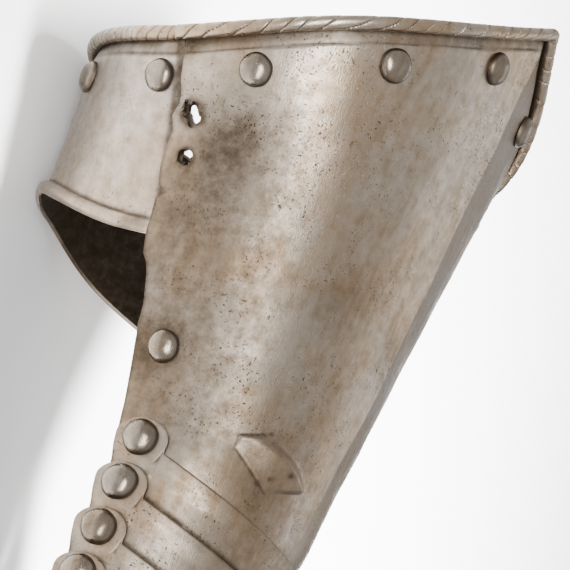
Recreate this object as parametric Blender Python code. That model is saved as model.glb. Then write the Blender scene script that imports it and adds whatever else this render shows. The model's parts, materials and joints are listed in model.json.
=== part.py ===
"""A right-hand steel mitten gauntlet with a pointed cuff, lying palm down.

Metres, +Z up. +X runs from the cuff's mouth to the fingers, -Y is the little-finger side.
The drawing is made with the first wrist rivet at X = 0 and is then slid along X until the
middle of its length is the origin. Each plate is a thin curved wall, each rivet a turned one.
"""

from math import asin, atan2, cos, degrees, hypot, pi, radians, sin

import bmesh
import bpy
import numpy as np
from mathutils import Vector

# Metal and clearances
CUFF_THICK = 0.0013
LAME_THICK = 0.0012
SLIDE_GAP = 0.0005
SEAM_GAP = 0.0003
HOLE_GAP = 0.0003

# Cuff, at the wrist and at the mouth
WRIST_HALF = 0.0420
WRIST_RISE = 0.0412
WRIST_Z = 0.0733
WRIST_SKIRT = 0.0086
MOUTH_BACK = 0.1170
MOUTH_HALF = 0.0715
MOUTH_MID_Z = 0.0753
MOUTH_RISE = 0.0562
MOUTH_SKIRT = 0.0220
BACK_POWER = 2.4
PALM_POWER = 1.95
RIM_BACK = 0.1195
PEAK_REACH = 0.0520
PEAK_POWER = 1.6
FLARE_START = 0.0090
FLARE_POWER = 1.2
RIDGE_RISE = 0.0022
RIDGE_WIDTH = 0.0120
RIDGE_LEAST = 0.15
RIDGE_GROWTH = 2.6
ROLL_WIDTH = 0.0046
ROLL_HEIGHT = 0.0030
ROLL_STATIONS = (2.0, 1.75, 1.0, 0.25, 0.0)

# Inner plate
PALM_Z = 0.0033
PALM_WRIST_Z = -0.0007
PALM_RIM_BACK = 0.1285
PALM_LIP_BACK = 0.0750
SIDE_LIP_BACK = 0.0555
LIP_SKEW = 0.0037
LIP_SKEW_RUN = 0.4
SEAM_LAP = 0.0160
FLANGE_WIDTH = 0.0070
FLANGE_RISE = 0.0028
LIP_WIDTH = 0.0040
LIP_HEIGHT = 0.0014
BEAD_FROM = 0.03
BEAD_RUN = 0.10

# Sliding plates: rivet lines of the hand, and how the edges lean
LAME_COUNT = 4
LAME_PITCH = 0.0145
LAME_DROP = 0.0014
LAME_RISE_DROP = 0.00075
HAND_WIDEN = 0.0006
EDGE_LEAN = 20.0
LAP_LEAN = 8.0
LOBE_BACK = 0.0064
LOBE_SIDE = 0.0084
NICK_OUT = 1.03
NICK_IN = 0.86
NICK_TURN = 6.0
EAR_END = 150.0
EAR_RADIUS = 0.0056
FAR_OUT = 0.0750
HAND_REACH = 0.0900

# Knuckles and fingers
KNUCKLE_AHEAD = 0.0340
KNUCKLE_LIFT = 0.0046
KNUCKLE_RISE = 0.0250
KNUCKLE_HALF = 0.0450
KNUCKLE_EDGE = 36.0
KNUCKLE_BACK_EDGE = 16.0
FINGER_POWER = 3.2
FINGER_LAP = 13.0
MIDDLE_AHEAD = 0.0200
MIDDLE_BELOW = 0.0210
MIDDLE_RISE = 0.0230
MIDDLE_HALF = 0.0424
MIDDLE_EDGE = 60.0
END_AHEAD = 0.0100
END_BELOW = 0.0260
END_RISE = 0.0215
END_HALF = 0.0397
END_EDGE = 80.0
TIP_BACK = 0.0010
TIP_RISE = 0.0190
TIP_HALF = 0.0370
TIP_CORNER = 0.6

# Rivets
LINING_HEAD = 0.0052
LINING_DOME = 0.0034
PIVOT_HEAD = 0.0055
PIVOT_DOME = 0.0040
SIDE_HEAD = 0.0050
SHANK = 0.0018
BUTTON = 0.0032
BUTTON_THICK = 0.0010
BUTTON_GAP = 0.0008
RIVET_SIDES = 7
ROW_INSET = 0.0145
LINING_PITCH = 0.0397
LINING_PER_SIDE = 3
PALM_FIRST = 0.0070
SIDE_RIVET_BACK = 0.0280
SIDE_RIVET_UP = 0.0085
SEAM_UP = 0.0085
SEAM_UPPER_BACK = 0.0930
SEAM_LOWER_BACK = 0.0810
TORN_HOLE = 0.0027
ROUND_HOLE = 0.0021
DRILL_REACH = 0.0090

# Thumb plate, in lengths ahead of its rivet, outward from the cuff and down
THUMB_THICK = 0.0012
THUMB_EAR = 0.0075
THUMB_REACH = 0.0900
THUMB_LIFT = 0.0290
THUMB_LIFT_FROM = 0.0060
THUMB_LIFT_RUN = 0.0400
THUMB_FALL = 0.0380
THUMB_HALF = 0.0165
THUMB_HOLLOW = 0.0095
THUMB_ROUND = 0.0130
THUMB_EAR_STOPS = (-0.98, -0.7, 0.0, 0.9)
THUMB_STOPS = (0.16, 0.26, 0.37, 0.5, 0.65, 0.8, 0.9, 0.97, 1.0)
THUMB_ROWS = 9
THUMB_BLUNT = 0.93
THUMB_WIDEN_FROM, THUMB_WIDEN_RUN = 0.10, 0.45
THUMB_NARROW, THUMB_NARROW_FROM = 0.22, 0.55
THUMB_HOLLOW_FROM, THUMB_HOLLOW_RUN = 0.12, 0.40
THUMB_FALL_FROM, THUMB_FALL_POWER = 0.08, 1.15

# Facets
CUFF_ROWS = 20
PALM_ROWS = 12
ARCH_ROWS = 12
POLE_TURNS = (85.0, 90.0)
WAVE_STEPS = (120, 60, 20)
SIDE_TURN = 78.0
FRONT_SHARES = (1.0, 0.62, 0.3)
RUN_SHARES = (0.25, 0.5, 0.75)
PALM_SHARES = (0.3, 0.7)
CURL_STEPS = (120, 70, 24, 16, 8)
END_STEPS = (7, 14, 21, 60, 120)
SIDE_STEP = 400

STEEL = (0.42, 0.385, 0.345, 1.0)
STEEL_RUBBED = (0.52, 0.49, 0.45, 1.0)


def clear_scene():
    """Removes whatever objects the file opens with."""
    for old in list(bpy.data.objects):
        bpy.data.objects.remove(old, do_unlink=True)


def steel(name, color, roughness):
    """A bare steel material."""
    material = bpy.data.materials.new(name)
    material.use_nodes = True
    shader = material.node_tree.nodes["Principled BSDF"]
    shader.inputs["Base Color"].default_value = color
    shader.inputs["Metallic"].default_value = 1.0
    shader.inputs["Roughness"].default_value = roughness
    return material


def add_object(name, points, faces, parent, location=(0, 0, 0), color=STEEL, roughness=0.4):
    """One closed, outward-facing object from points given round its own origin."""
    data = bpy.data.meshes.new(name)
    data.from_pydata([tuple(point) for point in points], [], faces)
    work = bmesh.new()
    work.from_mesh(data)
    bmesh.ops.remove_doubles(work, verts=work.verts, dist=1e-6)
    bmesh.ops.dissolve_degenerate(work, edges=work.edges, dist=1e-7)
    bmesh.ops.recalc_face_normals(work, faces=work.faces)
    work.to_mesh(data)
    work.free()
    data.shade_smooth()
    data.set_sharp_from_angle(angle=radians(35))
    made = bpy.data.objects.new(name, data)
    made.location = location
    made.parent = parent
    data.materials.append(steel(name, color, roughness))
    bpy.context.scene.collection.objects.link(made)
    return made


def boolean(target, tool, operation):
    """Cuts, joins or trims a solid with another and hides the tool from the model."""
    cut = target.modifiers.new(tool.name, "BOOLEAN")
    cut.operation = operation
    cut.solver = "EXACT"
    cut.object = tool
    tool.hide_render = True
    tool.display_type = "WIRE"


def smooth(value):
    """Eases from 0 to 1."""
    value = min(1.0, max(0.0, value))
    return value * value * (3 - 2 * value)


def signed_power(value, power):
    """Raises to a power and keeps the sign."""
    return np.sign(value) * np.abs(value) ** power


def resample(points, count):
    """Spaces points evenly along a polyline."""
    steps = np.linalg.norm(np.diff(points, axis=0), axis=1)
    run = np.concatenate([[0.0], np.cumsum(steps)])
    wanted = np.linspace(0.0, run[-1], count)
    return np.stack([np.interp(wanted, run, points[:, k]) for k in range(2)], axis=1), run[-1]


def side_curve(half, rise, skirt, foot, power_up, power_down):
    """Half a section, ridge to palm, as two evenly spaced runs that meet at the plate's edge.

    Above the widest height it is a superellipse of half-width and rise, below it one that
    reaches the foot. The first run ends at the skirt, below the widest height.
    """
    angle = np.linspace(0, pi / 2, SIDE_STEP)
    upper = np.stack([half * np.sin(angle) ** (2 / power_up), rise * np.cos(angle) ** (2 / power_up)], axis=1)
    lower = np.stack([half * np.cos(angle) ** (2 / power_down), -foot * np.sin(angle) ** (2 / power_down)], axis=1)
    whole = np.concatenate([upper, lower[1:]])
    split = int(np.argmin(np.abs(whole[:, 1] + skirt) + (np.arange(len(whole)) < SIDE_STEP)))
    plate, plate_length = resample(whole[:split + 1], SIDE_STEP)
    palm, palm_length = resample(whole[split:], SIDE_STEP)
    return plate, palm, plate_length, palm_length


WRIST_PLATE, WRIST_PALM, WRIST_ARC, _ = side_curve(
    WRIST_HALF, WRIST_RISE, WRIST_SKIRT, WRIST_Z - PALM_WRIST_Z, BACK_POWER, BACK_POWER)
MOUTH_PLATE, MOUTH_PALM, MOUTH_ARC, MOUTH_PALM_ARC = side_curve(
    MOUTH_HALF, MOUTH_RISE, MOUTH_SKIRT, MOUTH_MID_Z - PALM_Z, BACK_POWER, PALM_POWER)


def along(curve, share):
    """A point of a resampled curve at a share of its length."""
    place = share * (SIDE_STEP - 1)
    low = min(int(place), SIDE_STEP - 2)
    return curve[low] + (curve[low + 1] - curve[low]) * (place - low)


def row_ends(row):
    """Side-view height and half-width of one row of the cuff, at the wrist and at the mouth.

    A row is 0 at the ridge, 1 at the main plate's edge and 2 at the middle of the palm; its
    sign is the side of the hand.
    """
    side = -1.0 if row < 0 else 1.0
    size = abs(row)
    if size <= 1:
        wrist, mouth = along(WRIST_PLATE, size), along(MOUTH_PLATE, size)
    else:
        wrist, mouth = along(WRIST_PALM, size - 1), along(MOUTH_PALM, size - 1)
    return side, wrist, mouth


def cuff_slope():
    """The lean of the ridge line, from the mouth down to the wrist."""
    top_run = MOUTH_MID_Z + MOUTH_RISE - WRIST_Z - WRIST_RISE
    return atan2(top_run, MOUTH_BACK)


def cuff_point(row, back):
    """The middle of the cuff's metal, on a row and a distance behind the wrist rivets."""
    side, wrist, mouth = row_ends(row)
    lean = cuff_slope()
    start_x = wrist[1] * sin(lean)
    start_z = WRIST_Z + wrist[1] * cos(lean)
    share = (back + start_x) / (MOUTH_BACK + start_x)
    flare_from = FLARE_START / MOUTH_BACK
    flare = max(0.0, (share - flare_from) / (1 - flare_from)) ** FLARE_POWER
    half = wrist[0] + (mouth[0] - wrist[0]) * flare
    height = start_z + (MOUTH_MID_Z + mouth[1] - start_z) * share
    fade = min(1.0, max(RIDGE_LEAST, share * RIDGE_GROWTH))
    crest = RIDGE_RISE * fade * np.exp(-abs(half) / RIDGE_WIDTH) if abs(row) < 1 else 0.0
    return np.array([-back, side * half, height + crest])


def rim_back(row):
    """How far behind the wrist the mouth's edge stands on a row of the main plate."""
    return RIM_BACK + PEAK_REACH * (1 - min(1.0, abs(row))) ** PEAK_POWER


def dome_half(distance, half, rise, power):
    """Half-width of a dome turned about a rivet line, at a distance from that line."""
    return half * max(0.0, 1 - min(1.0, distance / rise) ** power) ** (1 / power)


def wrist_point(row, share):
    """The cuff's hidden front, turned about the first rivet line, from the run to its end."""
    side, wrist, _ = row_ends(row)
    lean = cuff_slope()
    height = wrist[1]
    end_angle = radians(EDGE_LEAN + LAP_LEAN)
    start = np.array([height * sin(lean), height * cos(lean)])
    if height >= EAR_RADIUS:
        angle = lean + (end_angle - lean) * share
        place = np.array([height * sin(angle), height * cos(angle)])
    else:
        ear_turn = (EAR_RADIUS - height) / (EAR_RADIUS + WRIST_SKIRT)
        angle = end_angle + (radians(EAR_END) - end_angle) * ear_turn
        end = EAR_RADIUS * np.array([sin(angle), cos(angle)])
        place = start + (end - start) * share
    half = dome_half(hypot(*place), WRIST_HALF, WRIST_RISE, BACK_POWER)
    if abs(row) < 1e-9:
        half = 0.0
    return np.array([place[0], side * half, WRIST_Z + place[1]])


def grid_normals(grid):
    """Unit normals of a grid of points, by the cross product of its two directions."""
    across = np.gradient(grid, axis=0)
    along_grid = np.gradient(grid, axis=1)
    normal = np.cross(across, along_grid)
    return normal / np.linalg.norm(normal, axis=2, keepdims=True)


def plate_from_grid(grid, normal, outward, inward):
    """Points and faces of a plate whose two skins stand off a middle surface."""
    rows, columns = grid.shape[:2]
    outer = grid + normal * outward[..., None]
    inner = grid - normal * inward[..., None]
    points = np.concatenate([outer.reshape(-1, 3), inner.reshape(-1, 3)])
    count = rows * columns

    def at(row, column):
        return row * columns + column

    faces = []
    for row in range(rows - 1):
        for column in range(columns - 1):
            quad = [at(row, column), at(row + 1, column), at(row + 1, column + 1), at(row, column + 1)]
            faces.append(quad)
            faces.append([index + count for index in reversed(quad)])
    edge = [at(row, 0) for row in range(rows)] + [at(rows - 1, column) for column in range(1, columns)]
    edge += [at(row, columns - 1) for row in range(rows - 2, -1, -1)]
    edge += [at(0, column) for column in range(columns - 2, 0, -1)]
    for place, index in enumerate(edge):
        after = edge[(place + 1) % len(edge)]
        faces.append([after, index, index + count, after + count])
    return points, faces


def roll_height(station, height):
    """How far a half-round roll stands proud, with stations counted in its radius."""
    return height * max(0.0, 1 - (station - 1) ** 2) ** 0.5


def cuff_surface():
    """The main plate's middle surface, its normals and its outward half thickness."""
    rows = np.linspace(-1, 1, CUFF_ROWS + 1)
    run_shares = (0.0, FLARE_START / MOUTH_BACK) + RUN_SHARES
    grid, proud = [], []
    for row in rows:
        line = [wrist_point(row, share) for share in FRONT_SHARES]
        _, wrist, _ = row_ends(row)
        start = -wrist[1] * sin(cuff_slope())
        rim = rim_back(row)
        before_roll = rim - ROLL_WIDTH
        line += [cuff_point(row, start + (before_roll - start) * share) for share in run_shares]
        line += [cuff_point(row, rim - station * ROLL_WIDTH / 2) for station in ROLL_STATIONS]
        grid.append(line)
        flat = [0.0] * (len(FRONT_SHARES) + len(run_shares))
        proud.append(flat + [roll_height(station, ROLL_HEIGHT) for station in ROLL_STATIONS])
    grid = np.array(grid)
    return grid, grid_normals(grid), np.array(proud)


def palm_surface():
    """The inner plate's middle surface, from the far seam under the palm to the near one."""
    lap_rows = SEAM_LAP / MOUTH_ARC
    inner_rows = np.linspace(1, 2, PALM_ROWS // 2 + 1)[1:-1]
    one_side = np.concatenate([[1 - lap_rows, 1 - lap_rows / 2, 1.0], inner_rows])
    rows = np.concatenate([one_side, [2.0], -one_side[::-1]])
    lip_stations = tuple(reversed(ROLL_STATIONS))
    grid, proud, flange = [], [], []
    for row in rows:
        into = max(0.0, abs(row) - 1)
        ease = sin(into * pi / 2) ** 2
        skew = LIP_SKEW * smooth((2 - abs(row)) / LIP_SKEW_RUN) * (1 if row < 0 else -1)
        lip = SIDE_LIP_BACK + (PALM_LIP_BACK - SIDE_LIP_BACK) * ease + skew
        rim = RIM_BACK + (PALM_RIM_BACK - RIM_BACK) * ease
        shown = min(1.0, max(0.0, (abs(row) - 1 - BEAD_FROM) / BEAD_RUN))
        backs = [lip + station * LIP_WIDTH / 2 for station in lip_stations]
        backs += [lip + FLANGE_WIDTH]
        first, last = lip + FLANGE_WIDTH, rim - ROLL_WIDTH
        backs += [first + (last - first) * share for share in PALM_SHARES]
        backs += [rim - station * ROLL_WIDTH / 2 for station in ROLL_STATIONS]
        grid.append([cuff_point(row, back) for back in backs])
        beads = [shown * roll_height(station, LIP_HEIGHT) for station in lip_stations]
        rolls = [shown * roll_height(station, ROLL_HEIGHT) for station in ROLL_STATIONS]
        proud.append(beads + [0.0] * (1 + len(PALM_SHARES)) + rolls)
        flange.append([shown * FLANGE_RISE * max(0.0, 1 - (back - lip) / FLANGE_WIDTH) ** 2 for back in backs])
    grid = np.array(grid)
    normal = grid_normals(grid)
    lowered = np.array(flange) - (CUFF_THICK + SEAM_GAP)
    grid = grid + normal * lowered[..., None]
    return grid, grid_normals(grid), np.array(proud)


def make_cuff(parent):
    """The main cuff plate."""
    grid, normal, proud = cuff_surface()
    half = np.full(grid.shape[:2], CUFF_THICK / 2)
    points, faces = plate_from_grid(grid, normal, half + proud, half)
    return add_object("cuff_plate", points, faces, parent)


def make_inner_plate(parent):
    """The plate that closes the cuff under the wrist."""
    grid, normal, proud = palm_surface()
    half = np.full(grid.shape[:2], CUFF_THICK / 2)
    points, faces = plate_from_grid(grid, normal, half + proud, half)
    return add_object("inner_cuff_plate", points, faces, parent)


class Pivot:
    """A rivet line across the hand, with the dome that the plates turn on."""

    def __init__(self, x, z, half, rise, power=BACK_POWER):
        self.x, self.z, self.half, self.rise, self.power = x, z, half, rise, power

    def grown(self, amount):
        return Pivot(self.x, self.z, self.half + amount, self.rise + amount, self.power)

    def point(self, turn, angle):
        """A point of the dome: turn runs over the arch, angle round the rivet line from +Z to +X."""
        reach = self.rise * abs(cos(turn)) ** (2 / self.power)
        across = self.half * float(signed_power(np.array(sin(turn)), 2 / self.power))
        return (self.x + reach * sin(angle), across, self.z + reach * cos(angle))

    def polar(self, radius, angle):
        """A side-view point round the rivet line."""
        return (self.x + radius * sin(angle), self.z + radius * cos(angle))


def between(first, second, ahead, half):
    """A station on the way from one rivet line to the next, with a half-width of its own."""
    share = ahead / (second.x - first.x)
    mix = [a + (b - a) * share for a, b in ((first.x, second.x), (first.z, second.z), (first.rise, second.rise))]
    return Pivot(mix[0], mix[1], half, mix[2], first.power)


def hand_pivots():
    """The rivet lines, from the wrist to the finger ends."""
    lines = []
    for index in range(LAME_COUNT + 1):
        lines.append(Pivot(index * LAME_PITCH, WRIST_Z - index * LAME_DROP,
                           WRIST_HALF + index * HAND_WIDEN, WRIST_RISE - index * LAME_RISE_DROP))
    last = lines[-1]
    knuckle = Pivot(last.x + KNUCKLE_AHEAD, last.z + KNUCKLE_LIFT, KNUCKLE_HALF, KNUCKLE_RISE, FINGER_POWER)
    middle = Pivot(knuckle.x + MIDDLE_AHEAD, knuckle.z - MIDDLE_BELOW, MIDDLE_HALF, MIDDLE_RISE, FINGER_POWER)
    end = Pivot(middle.x + END_AHEAD, middle.z - END_BELOW, END_HALF, END_RISE, FINGER_POWER)
    return lines + [knuckle, middle, end]


def facing(first, second):
    """The angle, from +Z towards +X, that the belt over two domes faces."""
    run, fall = second.x - first.x, first.z - second.z
    return atan2(fall, run) + asin((first.rise - second.rise) / hypot(run, fall))


def arch_solid(name, stations, start_steps, inset, parent):
    """A closed solid swept over the domes of two or more rivet lines, grown by -inset."""
    domes = [station.grown(-inset) for station in stations]
    lean = facing(domes[0], domes[-1])
    columns = [(domes[0], lean - radians(step)) for step in start_steps]
    columns += [(dome, lean) for dome in domes]
    columns += [(domes[-1], lean + radians(step)) for step in END_STEPS]
    columns += [(dome, lean + pi) for dome in reversed(domes)]
    poles = np.radians(POLE_TURNS)
    turns = np.concatenate([-poles[::-1], np.radians(np.linspace(-SIDE_TURN, SIDE_TURN, ARCH_ROWS + 1)), poles])
    points = [dome.point(turn, angle) for turn in turns for dome, angle in columns]
    width = len(columns)
    faces = []
    for row in range(len(turns) - 1):
        for column in range(width):
            after = (column + 1) % width
            faces.append([row * width + column, (row + 1) * width + column,
                          (row + 1) * width + after, row * width + after])
    return add_object(name, points, faces, parent)


def prism(name, outline, parent, reach=HAND_REACH):
    """A side-view outline pushed through the hand along Y."""
    count = len(outline)
    points = [(x, -reach, z) for x, z in outline] + [(x, reach, z) for x, z in outline]
    faces = [list(range(count)), [index + count for index in reversed(range(count))]]
    for index in range(count):
        after = (index + 1) % count
        faces.append([index, index + count, after + count, after])
    return add_object(name, points, faces, parent)


def arc(pivot, radius, first, last, count):
    """Side-view points round a rivet line, angles in degrees from +Z towards +X."""
    return [pivot.polar(radius, radians(first + (last - first) * k / (count - 1))) for k in range(count)]


def lobe(pivot, first, last, count):
    """The rounded lobe behind a rivet: an ellipse, shorter along the hand."""
    points = []
    for k in range(count):
        angle = radians(first + (last - first) * k / (count - 1))
        points.append((pivot.x + LOBE_BACK * sin(angle), pivot.z + LOBE_SIDE * cos(angle)))
    return points


def lame_outline(own, after):
    """Side view of a hand lame: leaning edge, hidden end, ear, and the lobe with its nick."""
    end_lean = EDGE_LEAN + LAP_LEAN
    outline = [own.polar(LOBE_SIDE * NICK_OUT, radians(EDGE_LEAN)), own.polar(FAR_OUT, radians(EDGE_LEAN))]
    outline += [after.polar(FAR_OUT, radians(end_lean))]
    outline += arc(after, EAR_RADIUS, end_lean, 175, 6)
    outline += lobe(own, 185, 365, 9)
    outline += [own.polar(LOBE_SIDE * NICK_IN, radians(EDGE_LEAN - NICK_TURN))]
    return outline


def knuckle_outline(own, after):
    """Side view of the knuckle plate: the lame's edge at the back, an open edge over the fingers."""
    outline = [own.polar(LOBE_SIDE * NICK_OUT, radians(EDGE_LEAN)), own.polar(FAR_OUT, radians(EDGE_LEAN))]
    outline += [after.polar(FAR_OUT, radians(KNUCKLE_BACK_EDGE)), after.polar(FAR_OUT, radians(KNUCKLE_EDGE))]
    outline += arc(after, LOBE_SIDE, KNUCKLE_EDGE, 200, 7)
    outline += lobe(own, 185, 365, 9)
    outline += [own.polar(LOBE_SIDE * NICK_IN, radians(EDGE_LEAN - NICK_TURN))]
    return outline


def finger_outline(own, after, hidden_edge, open_edge):
    """Side view of a finger lame, from its hidden edge under the last plate to its open one."""
    facing_angle = degrees(atan2(own.z - after.z, after.x - own.x))
    outline = [own.polar(FAR_OUT, radians(hidden_edge)), after.polar(FAR_OUT, radians(open_edge))]
    outline += arc(after, LOBE_SIDE, open_edge, facing_angle + 175, 7)
    outline += arc(own, EAR_RADIUS, facing_angle + 185, hidden_edge + 360, 6)
    return outline


def tip_outline(own, end, hidden_edge):
    """Side view of the finger end, cut level where it stands on the floor."""
    outline = [own.polar(FAR_OUT, radians(hidden_edge)), (own.x + FAR_OUT, 0.0)]
    outline += [(end.x - LOBE_SIDE, 0.0), (end.x - LOBE_SIDE, own.z * TIP_CORNER)]
    outline += arc(own, EAR_RADIUS, 262, hidden_edge + 360, 6)
    return outline


def make_arched_plate(name, stations, start_steps, outline, parent):
    """A sliding plate: a hollow arch over its rivet lines, trimmed to its side view."""
    plate = arch_solid(name, stations, start_steps, -LAME_THICK / 2, parent)
    boolean(plate, arch_solid(name + "_hollow", stations, start_steps, LAME_THICK / 2, parent), "DIFFERENCE")
    boolean(plate, prism(name + "_outline", outline, parent), "INTERSECT")
    return plate


def rivet_profile(head, dome, grip):
    """Radius and height pairs of a turned rivet, from the crown down to its inner button."""
    crown = [(head * sin(radians(angle)), dome * cos(radians(angle))) for angle in (42, 90)]
    return [(0.0, dome)] + crown + [(SHANK, 0.0), (SHANK, -grip), (BUTTON, -grip), (0.0, -grip - BUTTON_THICK)]


def make_rivet(name, place, normal, head, dome, grip, parent):
    """A rivet whose head's flat underside stands on its place, facing along the normal."""
    profile = rivet_profile(head, dome, grip)
    turn = Vector(normal).to_track_quat("Z", "Y").to_matrix()
    points, faces = [], []
    for radius, height in profile:
        for side in range(RIVET_SIDES):
            angle = 2 * pi * (side + 0.5) / RIVET_SIDES
            points.append(turn @ Vector((radius * cos(angle), radius * sin(angle), height)))
    for ring in range(len(profile) - 1):
        for side in range(RIVET_SIDES):
            after = (side + 1) % RIVET_SIDES
            faces.append([ring * RIVET_SIDES + side, (ring + 1) * RIVET_SIDES + side,
                          (ring + 1) * RIVET_SIDES + after, ring * RIVET_SIDES + after])
    return add_object(name, points, faces, parent, location=place, color=STEEL_RUBBED, roughness=0.3)


def drill(targets, place, normal, radius, parent, depth=DRILL_REACH, sides=RIVET_SIDES):
    """A round hole through each target, along a normal."""
    turn = Vector(normal).to_track_quat("Z", "Y").to_matrix()
    middle = Vector(place)
    points = []
    for height in (-depth, depth):
        for side in range(sides):
            angle = 2 * pi * (side + 0.5) / sides
            points.append(middle + turn @ Vector((radius * cos(angle), radius * sin(angle), height)))
    faces = [list(range(sides)), [index + sides for index in reversed(range(sides))]]
    for side in range(sides):
        after = (side + 1) % sides
        faces.append([side, after, after + sides, side + sides])
    tool = add_object("hole", points, faces, parent)
    for target in targets:
        boolean(target, tool, "DIFFERENCE")


def surface_frame(row, back, inset=0.0):
    """A place on the cuff's outer face and the outward normal there."""
    step_row, step_back = 0.01, 0.001
    place = cuff_point(row, back)
    across = cuff_point(row + step_row, back) - cuff_point(row - step_row, back)
    run = cuff_point(row, back + step_back) - cuff_point(row, back - step_back)
    normal = np.cross(across, run)
    normal = normal / np.linalg.norm(normal)
    if normal @ (place - np.array([-back, 0.0, MOUTH_MID_Z])) < 0:
        normal = -normal
    return place + normal * (CUFF_THICK / 2 - inset), normal


def make_cuff_rivets(cuff, inner, parent):
    """The rows of domed rivets under the rolls, and those at the seams and the wrist."""
    thick_grip = CUFF_THICK + SEAM_GAP + BUTTON_GAP
    for index in range(2 * LINING_PER_SIDE):
        row = (index - LINING_PER_SIDE + 0.5) * LINING_PITCH / MOUTH_ARC
        place, normal = surface_frame(row, rim_back(row) - ROW_INSET)
        seat = place + normal * SEAM_GAP
        make_rivet(f"lining_rivet_{index + 1}", seat, normal, LINING_HEAD, LINING_DOME, thick_grip, parent)
        drill([cuff], place, normal, SHANK + HOLE_GAP, parent)
    steps = (MOUTH_PALM_ARC - PALM_FIRST) / 2
    offsets = [PALM_FIRST, PALM_FIRST + steps, MOUTH_PALM_ARC]
    rows = [1 + offset / MOUTH_PALM_ARC for offset in offsets]
    for index, row in enumerate(rows[:2] + [2.0] + [-row for row in reversed(rows[:2])]):
        ease = sin((abs(row) - 1) * pi / 2) ** 2
        rim = RIM_BACK + (PALM_RIM_BACK - RIM_BACK) * ease
        place, normal = surface_frame(row, rim - ROW_INSET, CUFF_THICK + SEAM_GAP)
        seat = place + normal * SEAM_GAP
        make_rivet(f"palm_rivet_{index + 1}", seat, normal, LINING_HEAD, LINING_DOME, thick_grip, parent)
        drill([inner], place, normal, SHANK + HOLE_GAP, parent)
    place, normal = surface_frame(-side_rivet_row(), SIDE_RIVET_BACK)
    make_rivet("side_rivet", place + normal * SEAM_GAP, normal, SIDE_HEAD, LINING_DOME, thick_grip, parent)
    drill([cuff], place, normal, SHANK + HOLE_GAP, parent)
    seam_row = 1 - SEAM_UP / MOUTH_ARC
    seam_grip = 2 * (CUFF_THICK + SEAM_GAP) + BUTTON_GAP
    for name, back, lost in (("upper", SEAM_UPPER_BACK, TORN_HOLE), ("lower", SEAM_LOWER_BACK, ROUND_HOLE)):
        place, normal = surface_frame(seam_row, back)
        seat = place + normal * SEAM_GAP
        make_rivet("seam_rivet_" + name, seat, normal, SIDE_HEAD, LINING_DOME, seam_grip, parent)
        drill([cuff, inner], place, normal, SHANK + HOLE_GAP, parent)
        place, normal = surface_frame(-seam_row, back)
        drill([cuff, inner], place, normal, lost, parent)


def side_rivet_row():
    """The cuff row of the single rivet on each side of the wrist."""
    return 1 - SIDE_RIVET_UP / WRIST_ARC


def make_thumb(cuff, parent):
    """The thumb plate: an ear on the far side rivet, bent out past the lames into a hollow guard."""
    place, normal = surface_frame(side_rivet_row(), SIDE_RIVET_BACK)
    up = np.cross(normal, (1.0, 0.0, 0.0))
    up = -up / np.linalg.norm(up) if up[2] < 0 else up / np.linalg.norm(up)
    ahead = np.cross(up, normal)
    ahead = ahead if ahead[0] > 0 else -ahead
    base = place + normal * (SLIDE_GAP + THUMB_THICK / 2)
    grid = []
    for across in np.linspace(-1, 1, THUMB_ROWS):
        line = []
        for run in THUMB_EAR_STOPS:
            line.append((run * THUMB_EAR, 0.0, across * THUMB_EAR * (1 - min(run, 0.0) ** 2) ** 0.5))
        for share in THUMB_STOPS:
            forward = share * THUMB_REACH
            to_tip = (THUMB_REACH - forward) / THUMB_ROUND
            taper = (1 - max(0.0, 1 - to_tip) ** 2 * THUMB_BLUNT) ** 0.5
            half = THUMB_EAR + (THUMB_HALF - THUMB_EAR) * smooth((share - THUMB_WIDEN_FROM) / THUMB_WIDEN_RUN)
            narrow = THUMB_NARROW * max(0.0, share - THUMB_NARROW_FROM) / (1 - THUMB_NARROW_FROM)
            lift = THUMB_LIFT * smooth((forward - THUMB_LIFT_FROM) / THUMB_LIFT_RUN)
            hollow = THUMB_HOLLOW * smooth((share - THUMB_HOLLOW_FROM) / THUMB_HOLLOW_RUN)
            fall = THUMB_FALL * max(0.0, share - THUMB_FALL_FROM) ** THUMB_FALL_POWER
            line.append((forward, lift - hollow * across ** 2, across * half * taper * (1 - narrow) - fall))
        grid.append([base + ahead * a + normal * b + up * c for a, b, c in line])
    grid = np.array(grid)
    half = np.full(grid.shape[:2], THUMB_THICK / 2)
    points, faces = plate_from_grid(grid, grid_normals(grid), half, half)
    thumb = add_object("thumb_plate", points, faces, parent)
    seat = place + normal * (SLIDE_GAP + THUMB_THICK + SEAM_GAP)
    grip = THUMB_THICK + SLIDE_GAP + CUFF_THICK + BUTTON_GAP
    make_rivet("thumb_rivet", seat, normal, SIDE_HEAD, LINING_DOME, grip, parent)
    drill([cuff, thumb], place, normal, SHANK + HOLE_GAP, parent)
    return place, normal


def make_pivot_rivets(index, pivot, over, under, step, parent):
    """The two rivets that a plate turns on, through it and through the plate below."""
    over_face = pivot.half + step + LAME_THICK / 2
    grip = LAME_THICK + SLIDE_GAP + CUFF_THICK + BUTTON_GAP
    for name, side in (("near", -1), ("far", 1)):
        normal = (0.0, float(side), 0.0)
        seat = (pivot.x, side * (over_face + SEAM_GAP), pivot.z)
        make_rivet(f"pivot_{index}_{name}", seat, normal, PIVOT_HEAD, PIVOT_DOME, grip, parent)
        drill([over, under], (pivot.x, side * pivot.half, pivot.z), normal, SHANK + HOLE_GAP, parent)


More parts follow.
